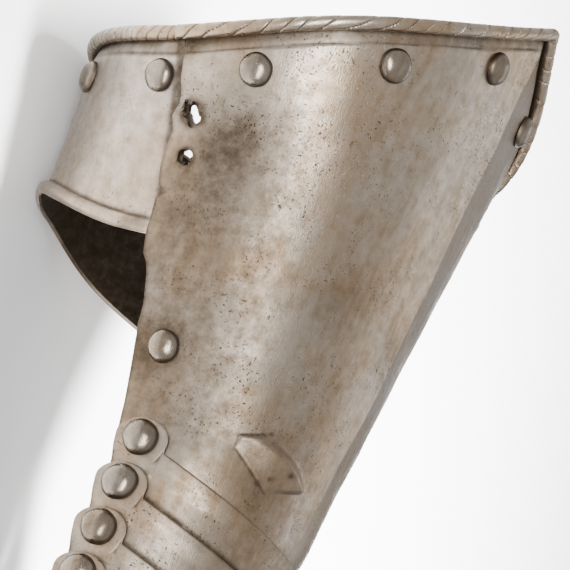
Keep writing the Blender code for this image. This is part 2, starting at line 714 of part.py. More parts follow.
def make_hand(cuff, parent):
    """The sliding plates from the wrist to the finger ends, and their rivets."""
    pivots = hand_pivots()
    step = (CUFF_THICK + LAME_THICK) / 2 + SLIDE_GAP
    plates = [cuff]
    for index in range(LAME_COUNT):
        own, after = pivots[index], pivots[index + 1]
        raised = own.grown(step)
        stations = [raised, between(raised, after, EAR_RADIUS + SLIDE_GAP, raised.half),
                    between(raised, after, LAME_PITCH - LOBE_BACK - SLIDE_GAP, after.half), after]
        plates.append(make_arched_plate(f"lame_{index + 1}", stations, WAVE_STEPS, lame_outline(own, after), parent))
    wrist_end, knuckle, middle, end = pivots[LAME_COUNT:]
    tip = Pivot(end.x - TIP_BACK, TIP_RISE / 2, TIP_HALF, TIP_RISE, FINGER_POWER)
    plates.append(make_arched_plate(
        "knuckle_plate", [wrist_end.grown(step), knuckle.grown(step)], WAVE_STEPS,
        knuckle_outline(wrist_end, knuckle), parent))
    plates.append(make_arched_plate(
        "finger_lame_1", [knuckle, middle.grown(step)], CURL_STEPS,
        finger_outline(knuckle, middle, KNUCKLE_EDGE - FINGER_LAP, MIDDLE_EDGE), parent))
    plates.append(make_arched_plate(
        "finger_lame_2", [middle, end.grown(step)], CURL_STEPS,
        finger_outline(middle, end, MIDDLE_EDGE - FINGER_LAP, END_EDGE), parent))
    plates.append(make_arched_plate(
        "finger_tip", [end, tip], CURL_STEPS, tip_outline(end, tip, END_EDGE - FINGER_LAP), parent))
    for index, pivot in enumerate(pivots):
        first, second = plates[index], plates[index + 1]
        over, under = (second, first) if index <= LAME_COUNT else (first, second)
        make_pivot_rivets(index + 1, pivot, over, under, step, parent)


def centre(parent):
    """Slides the gauntlet along X and Y until the middle of its box is the origin."""
    bpy.context.view_layer.update()
    graph = bpy.context.evaluated_depsgraph_get()
    corners = []
    for item in bpy.data.objects:
        if item.type == "MESH" and not item.hide_render:
            solid = item.evaluated_get(graph)
            corners += [item.matrix_world @ Vector(corner) for corner in solid.bound_box]
    low = [min(corner[k] for corner in corners) for k in range(3)]
    high = [max(corner[k] for corner in corners) for k in range(3)]
    parent.location = (-(low[0] + high[0]) / 2, -(low[1] + high[1]) / 2, -low[2])


def main():
    clear_scene()
    frame = bpy.data.objects.new("gauntlet", None)
    bpy.context.scene.collection.objects.link(frame)
    cuff = make_cuff(frame)
    inner = make_inner_plate(frame)
    make_hand(cuff, frame)
    make_cuff_rivets(cuff, inner, frame)
    make_thumb(cuff, frame)
    centre(frame)


main()
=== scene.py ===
# %% [markdown]
# # An old steel gauntlet, plate by plate
# A gauntlet is armour for the hand: a flared cuff over the wrist, then narrow plates that slide
# over one another on rivets. This lesson dresses a finished frame of plain solids. Every plate is
# worked out again as a fine surface from the same few sizes, so it keeps its place and its gaps.
# The sizes count from a point on the floor under the wrist's rivet line, which the frame tells.

# %% Load the frame
import json

import bpy
import numpy as np
from mathutils import Matrix


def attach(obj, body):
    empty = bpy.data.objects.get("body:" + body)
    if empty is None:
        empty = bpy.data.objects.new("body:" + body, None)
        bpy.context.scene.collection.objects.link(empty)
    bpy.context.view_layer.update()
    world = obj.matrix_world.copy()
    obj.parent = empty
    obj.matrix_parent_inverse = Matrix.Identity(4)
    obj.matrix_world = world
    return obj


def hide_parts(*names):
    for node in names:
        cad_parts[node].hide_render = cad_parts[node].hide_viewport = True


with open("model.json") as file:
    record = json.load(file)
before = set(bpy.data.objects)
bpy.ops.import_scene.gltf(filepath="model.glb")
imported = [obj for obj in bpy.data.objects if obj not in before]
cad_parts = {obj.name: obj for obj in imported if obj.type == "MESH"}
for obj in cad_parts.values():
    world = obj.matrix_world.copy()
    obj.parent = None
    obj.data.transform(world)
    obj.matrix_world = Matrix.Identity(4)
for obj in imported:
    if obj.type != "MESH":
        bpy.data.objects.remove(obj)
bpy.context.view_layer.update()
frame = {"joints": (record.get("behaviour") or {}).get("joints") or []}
WRIST_JOINT = next(joint for joint in frame["joints"] if joint["name"] == "wrist_lame_1")
WRIST_AT = np.array(WRIST_JOINT["pos_m"])
MM = 0.001
WRIST_Z = 73.3 * MM
ORIGIN = np.array([WRIST_AT[0], 0.0, WRIST_AT[2] - WRIST_Z])

# %% [markdown]
# ## The camera
# The photograph looks at the little-finger side from a little above, with the fingers down the
# picture. Three unit vectors say this: which way is right, which way is up, and which way is back
# from the scene to the lens. A matrix made of them turns the camera without any angles.

# %% Camera at the photograph's viewing angle
LENS_MM = 196.1
SENSOR_MM = 36.0
CAMERA_AT = np.array([0.23927, -0.8537, 0.39525])
PICTURE_RIGHT = np.array([-0.30022, 0.23247, 0.92511])
PICTURE_DOWN = np.array([0.90205, 0.38451, 0.19612])
CAMERA_BACK = np.cross(PICTURE_RIGHT, -PICTURE_DOWN)
PICTURE_SIZE = 570


def set_up(name, data, right, up, back, place):
    """Puts a camera or a lamp at a place, with its own right, up and back turned as given."""
    thing = bpy.data.objects.new(name, data)
    turn = Matrix([right, up, back]).transposed().to_4x4()
    turn.translation = place
    thing.matrix_world = turn
    bpy.context.scene.collection.objects.link(thing)
    return thing


camera_data = bpy.data.cameras.new("camera")
camera_data.lens = LENS_MM
camera_data.sensor_width = SENSOR_MM
bpy.context.scene.camera = set_up(
    "camera", camera_data, PICTURE_RIGHT, -PICTURE_DOWN, CAMERA_BACK, CAMERA_AT)


def in_picture(points):
    """Pixel of each point: its sideways distance over its depth, times the lens in pixels."""
    away = points - CAMERA_AT
    depth = -(away @ CAMERA_BACK)
    focal = PICTURE_SIZE * LENS_MM / SENSOR_MM
    across = PICTURE_SIZE / 2 + focal * (away @ PICTURE_RIGHT) / depth
    down = PICTURE_SIZE / 2 + focal * (away @ PICTURE_DOWN) / depth
    return np.stack([across, down], axis=-1)


print("the wrist rivet is at pixel", np.round(in_picture(WRIST_AT + (0.0, -0.042, 0.0))))

# %% [markdown]
# ## Small helpers
# `ease` and `ramp` turn a step into a smooth one. `ridge` is a soft bump of a given width. `waves` is a
# cheap, repeatable unevenness: a few sines that cross at odd angles, as a hammer leaves on a plate.
# The other three make directions one long, add up steps, and turn half a plate's rows into all.

# %% Helpers for smooth steps, bumps and unevenness


def ease(value):
    """Goes smoothly from 0 to 1 as the value does: three squares less two cubes."""
    value = np.clip(value, 0.0, 1.0)
    return value * value * (3 - 2 * value)


def ramp(value, start, run):
    """0 up to a start, then smoothly to 1 over a run."""
    return ease((value - start) / run)


def ridge(distance, width):
    """A bump, 1 on the line and falling off as the square of distance over width grows."""
    return np.exp(-(distance / width) ** 2)


def waves(first, second, length, seed):
    """Unevenness from about -1 to 1: sines along five turned directions, summed and averaged."""
    total = np.zeros(np.broadcast(first, second).shape)
    for step in range(5):
        angle = 1.3 * seed + 2.4 * step
        stretch = length * (0.7 + 0.17 * step)
        line = (first * np.cos(angle) + second * np.sin(angle)) / stretch
        total = total + np.sin(2 * np.pi * line + 1.7 * seed * step)
    return total / 2.6


def one_long(vectors):
    """The same directions, each made one long."""
    return vectors / np.maximum(np.linalg.norm(vectors, axis=-1, keepdims=True), 1e-12)


def running(steps, axis=0):
    """The running sum of steps along an axis, from 0."""
    total = np.cumsum(steps, axis=axis)
    return np.concatenate([np.zeros_like(np.take(total, [0], axis=axis)), total], axis=axis)


def both_sides(half):
    """The rows of a half in reverse and then in order, the middle one only once."""
    return np.concatenate([half[::-1], half[1:]])


# %% [markdown]
# ## From a grid of points to a plate
# A plate is two skins and a wall round its edge. The two skins are the middle surface moved along
# its normals. A mask says which squares of the grid are metal, so a hole or a torn edge is a
# square that is left out, and the wall follows the mask wherever metal meets nothing.

# %% Normals and closed plates from grids


def normals_of(grid):
    """The cross product of the grid's two directions, made one long."""
    return one_long(np.cross(np.gradient(grid, axis=0), np.gradient(grid, axis=1)))


def plate_faces(kept):
    """Squares of both skins and of the wall, as point numbers; the inner skin's come second."""
    rows, columns = kept.shape[0] + 1, kept.shape[1] + 1
    number = np.arange(rows * columns).reshape(rows, columns)
    a, b = number[:-1, :-1], number[1:, :-1]
    c, d = number[1:, 1:], number[:-1, 1:]
    outer = np.stack([a, b, c, d], axis=-1)[kept]
    inner = outer[:, ::-1] + rows * columns
    around = np.pad(kept, 1)
    sides = [
        (a, b, around[1:-1, :-2]),
        (b, c, around[2:, 1:-1]),
        (c, d, around[1:-1, 2:]),
        (d, a, around[:-2, 1:-1]),
    ]
    walls = []
    for first, second, beside in sides:
        open_side = kept & ~beside
        p, q = first[open_side], second[open_side]
        walls.append(np.stack([q, p, p + rows * columns, q + rows * columns], axis=-1))
    return outer, inner, np.concatenate(walls)


SHARP_DEGREES = 42


def mesh_piece(name, points, faces, body, node, grime_and_shade, materials, inside=None):
    """One finished piece: used points and faces in a mesh, riding on its body."""
    used, place = np.unique(faces.ravel(), return_inverse=True)
    faces = place.reshape(faces.shape)
    points = points[used] + ORIGIN
    data = bpy.data.meshes.new(name)
    data.vertices.add(len(points))
    data.vertices.foreach_set("co", points.astype(np.float32).ravel())
    width = faces.shape[1]
    data.loops.add(faces.size)
    data.loops.foreach_set("vertex_index", faces.astype(np.int32).ravel())
    data.polygons.add(len(faces))
    data.polygons.foreach_set("loop_start", np.arange(0, faces.size, width, dtype=np.int32))
    layer = data.attributes.new("grime_and_shade", "FLOAT", "POINT")
    layer.data.foreach_set("value", grime_and_shade[used].astype(np.float32))
    for material in materials:
        data.materials.append(material)
    if inside is not None:
        data.polygons.foreach_set("material_index", inside.astype(np.int32))
    data.update(calc_edges=True)
    data.validate()
    data.shade_smooth()
    data.set_sharp_from_angle(angle=np.radians(SHARP_DEGREES))
    piece = bpy.data.objects.new(name, data)
    bpy.context.scene.collection.objects.link(piece)
    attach(piece, body)
    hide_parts(node)
    print(name, len(faces), "faces")


def all_squares(grid):
    """A mask that keeps every square of a grid."""
    return np.ones((grid.shape[0] - 1, grid.shape[1] - 1), bool)


# Inner skins are darkened all over, partly grime and partly painted shade; near a turned edge, where they
# face the light, they stay bright.
INSIDE_SHADE_AND_GRIME, BRIGHT_GRIME = 1.0, 0.15


def plate_piece(name, grid, outward, inward, body, node, grime_and_shade, kept=None, bright_columns=0, steel=None):
    """A plate whose skins stand outward and inward of the grid; its inner skin is dark with rust and painted
    shade.

    The inner skin's first columns can stay bright, where a turned edge shows them to the light.
    """
    if kept is None:
        kept = all_squares(grid)
    normal = normals_of(grid)
    outer_skin = grid + normal * outward[..., None]
    inner_skin = grid - normal * inward[..., None]
    points = np.concatenate([outer_skin.reshape(-1, 3), inner_skin.reshape(-1, 3)])
    outer, inner, walls = plate_faces(kept)
    faces = np.concatenate([outer, inner, walls])
    dark = np.full(grid.shape[:2], INSIDE_SHADE_AND_GRIME)
    dark[:, :bright_columns] = BRIGHT_GRIME
    dark_squares = np.broadcast_to(np.arange(kept.shape[1]) >= bright_columns, kept.shape)
    inside = np.concatenate([np.zeros(len(outer)), dark_squares[kept], np.zeros(len(walls))])
    both = np.concatenate([grime_and_shade.ravel(), dark.ravel()])
    mesh_piece(name, points, faces, body, node, both, [steel or PLATE_STEEL, INSIDE_STEEL], inside=inside)


# %% [markdown]
# ## Steel that has been polished by hand for centuries
# The metal is bare. Its colour drifts between a cool grey and a warm brown skin of old oil and
# rust. Over that lie fine polishing scratches that run along the arm, dark pits, a few rust specks,
# grime where a cloth can't reach, and painted shade in creases, under lapped edges and inside.
# Each is a noise texture on Object coordinates with a ramp; the grime and the painted shade are
# one attribute that each piece works out from its own shape.

# %% Steel materials


def shader_node(material, kind, inputs=None, **settings):
    """Adds a node to a material, with its settings and plain input values."""
    node = material.node_tree.nodes.new(kind)
    for setting, value in settings.items():
        setattr(node, setting, value)
    for socket, value in (inputs or {}).items():
        node.inputs[socket].default_value = value
    return node


def noise(material, scale, stretch=(1, 1, 1), detail=4.0, rough=0.55, shift=(0, 0, 0)):
    """The output of a noise texture on Object coordinates, stretched and shifted."""
    links = material.node_tree.links
    place = shader_node(material, "ShaderNodeTexCoord")
    mapping = shader_node(material, "ShaderNodeMapping", {"Scale": stretch, "Location": shift})
    texture = shader_node(material, "ShaderNodeTexNoise", {
        "Scale": scale, "Detail": detail, "Roughness": rough})
    links.new(place.outputs["Object"], mapping.inputs["Vector"])
    links.new(mapping.outputs["Vector"], texture.inputs["Vector"])
    return texture.outputs["Fac"]


def remap(material, value, low, high, out_low=0.0, out_high=1.0):
    """Maps a value from one range to another, kept inside the second."""
    node = shader_node(material, "ShaderNodeMapRange", {
        "From Min": low, "From Max": high, "To Min": out_low, "To Max": out_high})
    material.node_tree.links.new(value, node.inputs["Value"])
    return node.outputs["Result"]


MIX_COLOUR_INPUTS, MIX_COLOUR_OUTPUT = (0, 6, 7), 2


def blend(material, share, first, second, mode="MIX"):
    """Mixes two colours, each a colour or another node's output, by a share."""
    node = shader_node(material, "ShaderNodeMix", data_type="RGBA", blend_type=mode)
    links = material.node_tree.links
    for socket, value in zip(MIX_COLOUR_INPUTS, (share, first, second)):
        if isinstance(value, (tuple, float)):
            node.inputs[socket].default_value = value
        else:
            links.new(value, node.inputs[socket])
    return node.outputs[MIX_COLOUR_OUTPUT]


def combine(material, operation, first, second):
    """Two numbers, each a value or an output, through one arithmetic step."""
    node = shader_node(material, "ShaderNodeMath", operation=operation)
    for socket, value in zip(node.inputs, (first, second)):
        if isinstance(value, (int, float)):
            socket.default_value = value
        else:
            material.node_tree.links.new(value, socket)
    return node.outputs[0]


STREAK_TINT, PIT_TINT = (0.50, 0.45, 0.395, 1.0), (0.05, 0.04, 0.032, 1.0)
RUST_TINT, GRIME_AND_SHADE_TINT = (0.17, 0.085, 0.035, 1.0), (0.045, 0.033, 0.022, 1.0)
BUMP_DISTANCE = 0.18 * MM


def old_steel(name, cool, warm, rough, pits, rust, scratch):
    """Bare steel: patches of two tints, scratches along X, pits, rust specks, and grime with painted shade.
    """

    def times(first, second):
        """One value times another."""
        return combine(material, "MULTIPLY", first, second)

    material = bpy.data.materials.new(name)
    material.use_nodes = True
    links = material.node_tree.links
    shader = material.node_tree.nodes["Principled BSDF"]
    shader.inputs["Metallic"].default_value = 1.0
    patch = remap(material, noise(material, 30, detail=6, rough=0.62), 0.42, 0.58)
    mottle = noise(material, 240, detail=6, rough=0.7)
    streak = noise(material, 300, stretch=(0.06, 1, 1), detail=5, rough=0.65)
    hairline = noise(material, 2600, stretch=(0.02, 1, 1), detail=2, rough=0.5)
    pit = remap(material, noise(material, 1300, detail=3, rough=0.6), 0.60, 0.66)
    pit_zone = remap(material, noise(material, 75, detail=4, shift=(0.3, 0.1, 0.2)), 0.46, 0.62)
    pit = times(pit, times(pit_zone, pits))
    speck = remap(material, noise(material, 520, detail=3, rough=0.6, shift=(0.2, 0, 0.5)), 0.64, 0.70)
    speck_zone = remap(material, noise(material, 45, detail=3, shift=(0.7, 0.4, 0)), 0.46, 0.62)
    speck = times(speck, times(speck_zone, rust))
    # This attribute holds grime together with painted shade, and the dark tint is mixed in by it.
    grime_and_shade = shader_node(material, "ShaderNodeAttribute", attribute_name="grime_and_shade").outputs["Fac"]
    dirt_and_shade = times(grime_and_shade, remap(material, mottle, 0.3, 0.7, 0.78, 1.0))
    tint = blend(material, patch, cool, warm)
    tint = blend(material, remap(material, mottle, 0.30, 0.70, 0.0, 0.55), tint, warm, "MULTIPLY")
    tint = blend(material, remap(material, streak, 0.35, 0.65, 0.0, 0.22), tint, STREAK_TINT)
    for share, stain in ((pit, PIT_TINT), (speck, RUST_TINT), (dirt_and_shade, GRIME_AND_SHADE_TINT)):
        tint = blend(material, share, tint, stain)
    links.new(tint, shader.inputs["Base Color"])
    roughness = remap(material, mottle, 0.3, 0.7, rough - 0.06, rough + 0.10)
    for part, much in ((dirt_and_shade, 0.35), (pit, 0.3)):
        roughness = combine(material, "ADD", roughness, times(part, much))
    links.new(roughness, shader.inputs["Roughness"])
    height = times(hairline, scratch)
    for part, much in ((streak, 0.5 * scratch), (mottle, 0.22), (pit, -1.2)):
        height = combine(material, "ADD", height, times(part, much))
    bump = shader_node(material, "ShaderNodeBump", {"Strength": 0.5, "Distance": BUMP_DISTANCE})
    links.new(height, bump.inputs["Height"])
    links.new(bump.outputs["Normal"], shader.inputs["Normal"])
    return material


STEELS = {
    "plate_steel": ((0.33, 0.278, 0.222, 1.0), (0.31, 0.222, 0.138, 1.0), 0.29, 1.0, 0.8, 0.6),
    # The inner skins' dark steel is partly the inside's own rust and partly painted shade.
    "inside_steel": ((0.14, 0.105, 0.082, 1.0), (0.12, 0.082, 0.055, 1.0), 0.58, 0.5, 1.0, 0.2),
    "rivet_steel": ((0.175, 0.145, 0.115, 1.0), (0.155, 0.115, 0.075, 1.0), 0.22, 0.6, 0.4, 0.2),
    # The inner plate's steel is a lighter copy of the plate steel: partly less patina, partly a painted
    # reflection of the floor below.
    "inner_plate_steel": ((0.36, 0.31, 0.262, 1.0), (0.34, 0.262, 0.19, 1.0), 0.31, 0.8, 0.6, 0.6),
}
steels = [old_steel(name, *look) for name, look in STEELS.items()]
PLATE_STEEL, INSIDE_STEEL, RIVET_STEEL, INNER_STEEL = steels
print("steels:", [material.name for material in bpy.data.materials])

# %% [markdown]
# ## The cuff's form
# Across the arm the cuff is a superellipse, narrow at the wrist and wide at the mouth. Between
# them every row of the plate is a straight line whose half-width flares. Below the plate's side
# edge a second plate closes the cuff under the wrist, on the same rows. A row is 0 at the ridge,
# 1 at the main plate's edge and 2 under the wrist, with the sign of its side.

# %% Sections of the cuff, and a point of it
CUFF_THICK = 1.3 * MM
SEAM_GAP = 0.3 * MM
WRIST_HALF, WRIST_RISE, WRIST_SKIRT = 42.0 * MM, 41.2 * MM, 8.6 * MM
MOUTH_BACK, MOUTH_HALF, MOUTH_MID_Z = 117.0 * MM, 71.5 * MM, 75.3 * MM
MOUTH_RISE, MOUTH_SKIRT = 56.2 * MM, 22.0 * MM
PALM_Z, PALM_WRIST_Z = 3.3 * MM, -0.7 * MM
BACK_POWER, PALM_POWER = 2.4, 1.95
RIM_BACK, PEAK_REACH, PEAK_POWER = 119.5 * MM, 52.0 * MM, 1.6
FLARE_START, FLARE_POWER = 9.0 * MM, 1.2
RIDGE_RISE, RIDGE_WIDTH, RIDGE_GROWTH, RIDGE_LEAST = 2.2 * MM, 12.0 * MM, 2.6, 0.15
SECTION_STEPS = 600


def evenly(points):
    """The same curve with its points evenly spaced, and its length."""
    run = running(np.linalg.norm(np.diff(points, axis=0), axis=1))
    wanted = np.linspace(0.0, run[-1], SECTION_STEPS)
    return np.stack([np.interp(wanted, run, points[:, k]) for k in range(2)], axis=1), run[-1]


def section(half, rise, skirt, foot, power_down):
    """Ridge to palm: a superellipse above the widest height and one below it, cut at the skirt."""
    angle = np.linspace(0, np.pi / 2, SECTION_STEPS)
    outer, inner = np.sin(angle), np.cos(angle)
    upper = np.stack([half * outer ** (2 / BACK_POWER), rise * inner ** (2 / BACK_POWER)], axis=1)
    lower = np.stack([half * inner ** (2 / power_down), -foot * outer ** (2 / power_down)], axis=1)
    whole = np.concatenate([upper, lower[1:]])
    below = np.arange(len(whole)) >= SECTION_STEPS
    split = int(np.argmin(np.abs(whole[:, 1] + skirt) + (1 - below)))
    return evenly(whole[:split + 1]), evenly(whole[split:])


(WRIST_PLATE, WRIST_ARC), (WRIST_PALM, _) = section(
    WRIST_HALF, WRIST_RISE, WRIST_SKIRT, WRIST_Z - PALM_WRIST_Z, BACK_POWER)
(MOUTH_PLATE, MOUTH_ARC), (MOUTH_PALM, MOUTH_PALM_ARC) = section(
    MOUTH_HALF, MOUTH_RISE, MOUTH_SKIRT, MOUTH_MID_Z - PALM_Z, PALM_POWER)
SLOPE = np.arctan2(MOUTH_MID_Z + MOUTH_RISE - WRIST_Z - WRIST_RISE, MOUTH_BACK)


def along(curve, share):
    """Width and height of an evenly spaced curve at a share of its length."""
    place = np.clip(share, 0, 1) * (SECTION_STEPS - 1)
    steps = np.arange(SECTION_STEPS)
    return np.interp(place, steps, curve[:, 0]), np.interp(place, steps, curve[:, 1])


def row_ends(row):
    """Half-width and height of a row at the wrist and at the mouth."""
    size = np.abs(row)
    ends = []
    for plate, palm in ((WRIST_PLATE, WRIST_PALM), (MOUTH_PLATE, MOUTH_PALM)):
        ends.append([np.where(size <= 1, a, b) for a, b in zip(along(plate, size), along(palm, size - 1))])
    return ends


def cuff_point(row, back):
    """Middle of the metal at a row and a distance behind the wrist rivets.

    Height is linear from the wrist's to the mouth's; half-width follows a power of the share; a
    low crest, an exponential of the half-width, stands along the middle.
    """
    row, back = np.broadcast_arrays(np.asarray(row, float), np.asarray(back, float))
    (wrist_half, wrist_up), (mouth_half, mouth_up) = row_ends(row)
    start_x = wrist_up * np.sin(SLOPE)
    start_z = WRIST_Z + wrist_up * np.cos(SLOPE)
    share = (back + start_x) / (MOUTH_BACK + start_x)
    flare_from = FLARE_START / MOUTH_BACK
    flare = np.maximum(0.0, (share - flare_from) / (1 - flare_from)) ** FLARE_POWER
    half = wrist_half + (mouth_half - wrist_half) * flare
    height = start_z + (MOUTH_MID_Z + mouth_up - start_z) * share
    fade = np.clip(share * RIDGE_GROWTH, RIDGE_LEAST, 1.0)
    crest = np.where(np.abs(row) < 1, RIDGE_RISE * fade * np.exp(-np.abs(half) / RIDGE_WIDTH), 0.0)
    return np.stack([-back, np.sign(row) * half, height + crest], axis=-1)


def rim_back(row):
    """How far behind the wrist the mouth's edge stands: level, with a peak over the ridge."""
    return RIM_BACK + PEAK_REACH * (1 - np.minimum(1.0, np.abs(row))) ** PEAK_POWER


print("arc from ridge to edge: wrist", round(WRIST_ARC, 4), "mouth", round(MOUTH_ARC, 4))

# %% [markdown]
# ## Marks on the cuff
# Hammer waves, a knock on the ridge and a raised boss for the wrist bone move the surface along
# its normal. They are functions of the row and the distance back. The boss, the dents, the stains,
# the patches of painted shade and the seam's ragged edge are placed by the pixel at which the
# photograph shows them: the nearest point of the surface that faces the lens is looked up.

# %% Find a place on the cuff by its pixel
LOOK_ROWS, LOOK_BACKS = np.meshgrid(
    np.linspace(-1.08, 0.35, 280), np.linspace(-12 * MM, 165 * MM, 320), indexing="ij")
LOOK_POINTS = cuff_point(LOOK_ROWS, LOOK_BACKS)
LOOK_PIXELS = in_picture(LOOK_POINTS + ORIGIN)
LOOK_HIDDEN = normals_of(LOOK_POINTS) @ CAMERA_BACK < 0.02
FAR_PIXELS = 1000.0


def cuff_at(pixel):
    """Row and distance back of the cuff's visible point nearest to a pixel."""
    distance = np.linalg.norm(LOOK_PIXELS - pixel, axis=2) + FAR_PIXELS * LOOK_HIDDEN
    place = np.unravel_index(np.argmin(distance), distance.shape)
    return float(LOOK_ROWS[place]), float(LOOK_BACKS[place])


print("boss of the wrist bone at row and back", np.round(cuff_at((267, 466)), 4))

# %% Boss, dents and hammer waves
BOSS_CORNERS = (
    (237, 434), (276, 433), (289, 441), (299, 454), (304, 472), (304, 494), (263, 495), (233, 449))
BOSS_EDGE_WIDTHS = (1.4, 6.0, 7.0, 7.0, 5.0, 2.2, 1.3, 1.5)
CREASE_WIDEST, CREASE_IN, CREASE_WIDTH, CREASE_FADE = 2.1, 0.3 * MM, 0.35 * MM, 3 * MM
BOSS_RISE, BOSS_LEAST, BOSS_SLOPE = 3.5 * MM, 0.06, 11.0 * MM
# Most patches are tarnish. The big patch on the near side is partly patina, partly painted shade; the one at
# (235, 135), over the hollow dent, is a painted dark reflection.
PATINA_AND_SHADE = {
    "side": (172, 310, 48, 0.70), "boss": (266, 462, 15, 0.22), "dent_dark_reflection": (235, 135, 13, 0.60),
    "seam": (205, 190, 22, 0.40), "pit 1": (283, 474, 1.1, 0.6), "pit 2": (268, 478, 1.0, 0.55),
    "pit 3": (256, 483, 1.0, 0.5), "stain": (337, 300, 10, 0.22), "squiggle": (385, 352, 7, 0.30),
    "olive": (262, 500, 14, 0.30), "side rivet": (156, 345, 9, 0.35), "wrist": (175, 420, 20, 0.30),
    "roll": (190, 42, 5, 0.45),
}
DENTS = {
    "stain": (337, 300, 9, 0.30), "patch": (262, 205, 14, 0.30), "rivet": (420, 150, 12, 0.25),
    "middle": (300, 380, 12, 0.25), "squiggle": (385, 352, 8, 0.25), "hollow": (235, 150, 16, 0.55),
    "shoulder": (205, 235, 11, -0.25), "ridge": (452, 205, 9, 0.35),
}
WAVE_DEPTH, WAVE_LENGTH = 0.17 * MM, 34 * MM
RIPPLE_DEPTH, RIPPLE_LENGTH = 0.05 * MM, 11 * MM
FREE_FROM, FREE_RUN, FREE_ROW, FREE_ROW_RUN, FREE_LEFT = 2 * MM, 14 * MM, 0.97, 0.12, 0.35
# The dark line at the foot of the boss's narrow sides is painted shade in the crease.
CREASE_SHADE = 0.6


def arc_across(row, back):
    """Metres from the ridge round to a row, between the arcs of the wrist and the mouth."""
    share = np.clip(back / MOUTH_BACK, 0, 1)
    return row * (WRIST_ARC + (MOUTH_ARC - WRIST_ARC) * share)


def flat_place(pixel):
    """Metres round from the ridge and metres back of the cuff's point at a pixel."""
    row, back = cuff_at(pixel)
    return np.array([arc_across(row, back), back])


def boss(row, back):
    """The wrist bone's boss: a petal that rises from its thin near crease to a round far side.

    Its outline is a polygon; for each side, distance inwards over that side's width is eased, and
    the height is the product of these, so a narrow side is a crease and a wide one a soft swell.
    The second result is 1 on the foot of a narrow side: a line of painted shade in the crease.
    """
    spot = np.stack([arc_across(row, back), np.broadcast_to(back, np.broadcast(row, back).shape)], axis=-1)
    corners = np.array([flat_place(pixel) for pixel in BOSS_CORNERS])
    middle = corners.mean(axis=0)
    height, crease_shade = np.ones(spot.shape[:-1]), np.zeros(spot.shape[:-1])
    near_foot, near_top = corners[-2:]
    near_side = one_long(near_top - near_foot)
    away = np.abs((spot - near_foot) @ np.array([-near_side[1], near_side[0]]))
    for first, second, width in zip(corners, np.roll(corners, -1, axis=0), BOSS_EDGE_WIDTHS):
        length = np.linalg.norm(second - first)
        run = (second - first) / length
        inward = np.array([-run[1], run[0]])
        inward = inward * np.sign((middle - first) @ inward)
        deep, beside = (spot - first) @ inward, (spot - first) @ run
        height = height * ease(deep / (width * MM))
        if width < CREASE_WIDEST:
            ends = ease(beside / CREASE_FADE + 0.5) * ease((length - beside) / CREASE_FADE + 0.5)
            crease_shade = np.maximum(crease_shade, ridge(deep - CREASE_IN, CREASE_WIDTH) * ends)
    return BOSS_RISE * height * (BOSS_LEAST + (1 - BOSS_LEAST) * ease(away / BOSS_SLOPE)), crease_shade


def patches(table, row, back):
    """Soft round patches, summed. A table's entry is x and y in pixels, size in mm, strength."""
    across, total = arc_across(row, back), np.zeros(np.broadcast(row, back).shape)
    for x, y, size, strength in table.values():
        patch_across, patch_back = flat_place((x, y))
        total = total + strength * ridge(np.hypot(across - patch_across, back - patch_back), size * MM)
    return total


def hammered(row, back):
    """Hammer waves and the placed dents, fading to nothing where other plates lie over the cuff."""
    across = arc_across(row, back)
    free = ramp(back, FREE_FROM, FREE_RUN) * ease((FREE_ROW - np.abs(row)) / FREE_ROW_RUN + FREE_LEFT)
    depth = WAVE_DEPTH * waves(across, back, WAVE_LENGTH, 1.0)
    depth = depth + RIPPLE_DEPTH * waves(across, back, RIPPLE_LENGTH, 2.0)
    return (depth - MM * patches(DENTS, row, back)) * free


def patina_and_shade(row, back):
    """Brown tarnish and painted shade in soft round patches, and painted shade in the creases at the boss's
    foot.
    """
    return patches(PATINA_AND_SHADE, row, back) + CREASE_SHADE * boss(row, back)[1]


print("boss stands", np.round(boss(*cuff_at((285, 475)))[0] / MM, 2), "mm")

# %% [markdown]
# ## The main cuff plate
# The grid runs from the hidden front, which is turned about the first rivet line so that the next
# plate can slide over it, back to the mouth. Below the roll a border is sunk at a crisp line, by a
# third of a millimetre, and more beside the roll. Grid lines are packed closer at that line and at
# the riveted seam.

# %% Grid of the main plate
EDGE_LEAN, LAP_LEAN = np.radians(20.0), np.radians(8.0)
EAR_RADIUS = 5.6 * MM
ROLL_WIDTH, ROLL_HEIGHT = 4.6 * MM, 3.0 * MM
BORDER_WIDTH, BORDER_STEP, BORDER_SUNK, BORDER_COVE = 8.2 * MM, 0.5 * MM, 0.35 * MM, 0.75 * MM
COVE_END, COVE_POWER = 0.8 * ROLL_WIDTH, 1.5
EDGE_ROUND, EDGE_LEAST = 0.45 * MM, 0.35
EAR_END = np.radians(150)
PACKED_STEPS = 4000


def wrist_point(row, share):
    """The cuff's hidden front: each row carried round the first rivet line to its end.

    High rows turn on an arc about the rivets; rows beside them run to the round ear.
    """
    (_, height), _ = row_ends(row)
    last = EDGE_LEAN + LAP_LEAN
    turn = SLOPE + (last - SLOPE) * share
    arc_place = np.stack([height * np.sin(turn), height * np.cos(turn)], axis=-1)
    ear_turn = last + (EAR_END - last) * (EAR_RADIUS - height) / (EAR_RADIUS + WRIST_SKIRT)
    start = np.stack([height * np.sin(SLOPE), height * np.cos(SLOPE)], axis=-1)
    ear = EAR_RADIUS * np.stack([np.sin(ear_turn), np.cos(ear_turn)], axis=-1)
    ear_place = start + (ear - start) * share[..., None]
    place = np.where((height >= EAR_RADIUS)[..., None], arc_place, ear_place)
    reach = np.minimum(1.0, np.hypot(place[..., 0], place[..., 1]) / WRIST_RISE)
    half = WRIST_HALF * (1 - reach ** BACK_POWER) ** (1 / BACK_POWER)
    half = np.where(np.abs(row) < 1e-9, 0.0, half)
    return np.stack([place[..., 0], np.sign(row) * half, WRIST_Z + place[..., 1]], axis=-1)


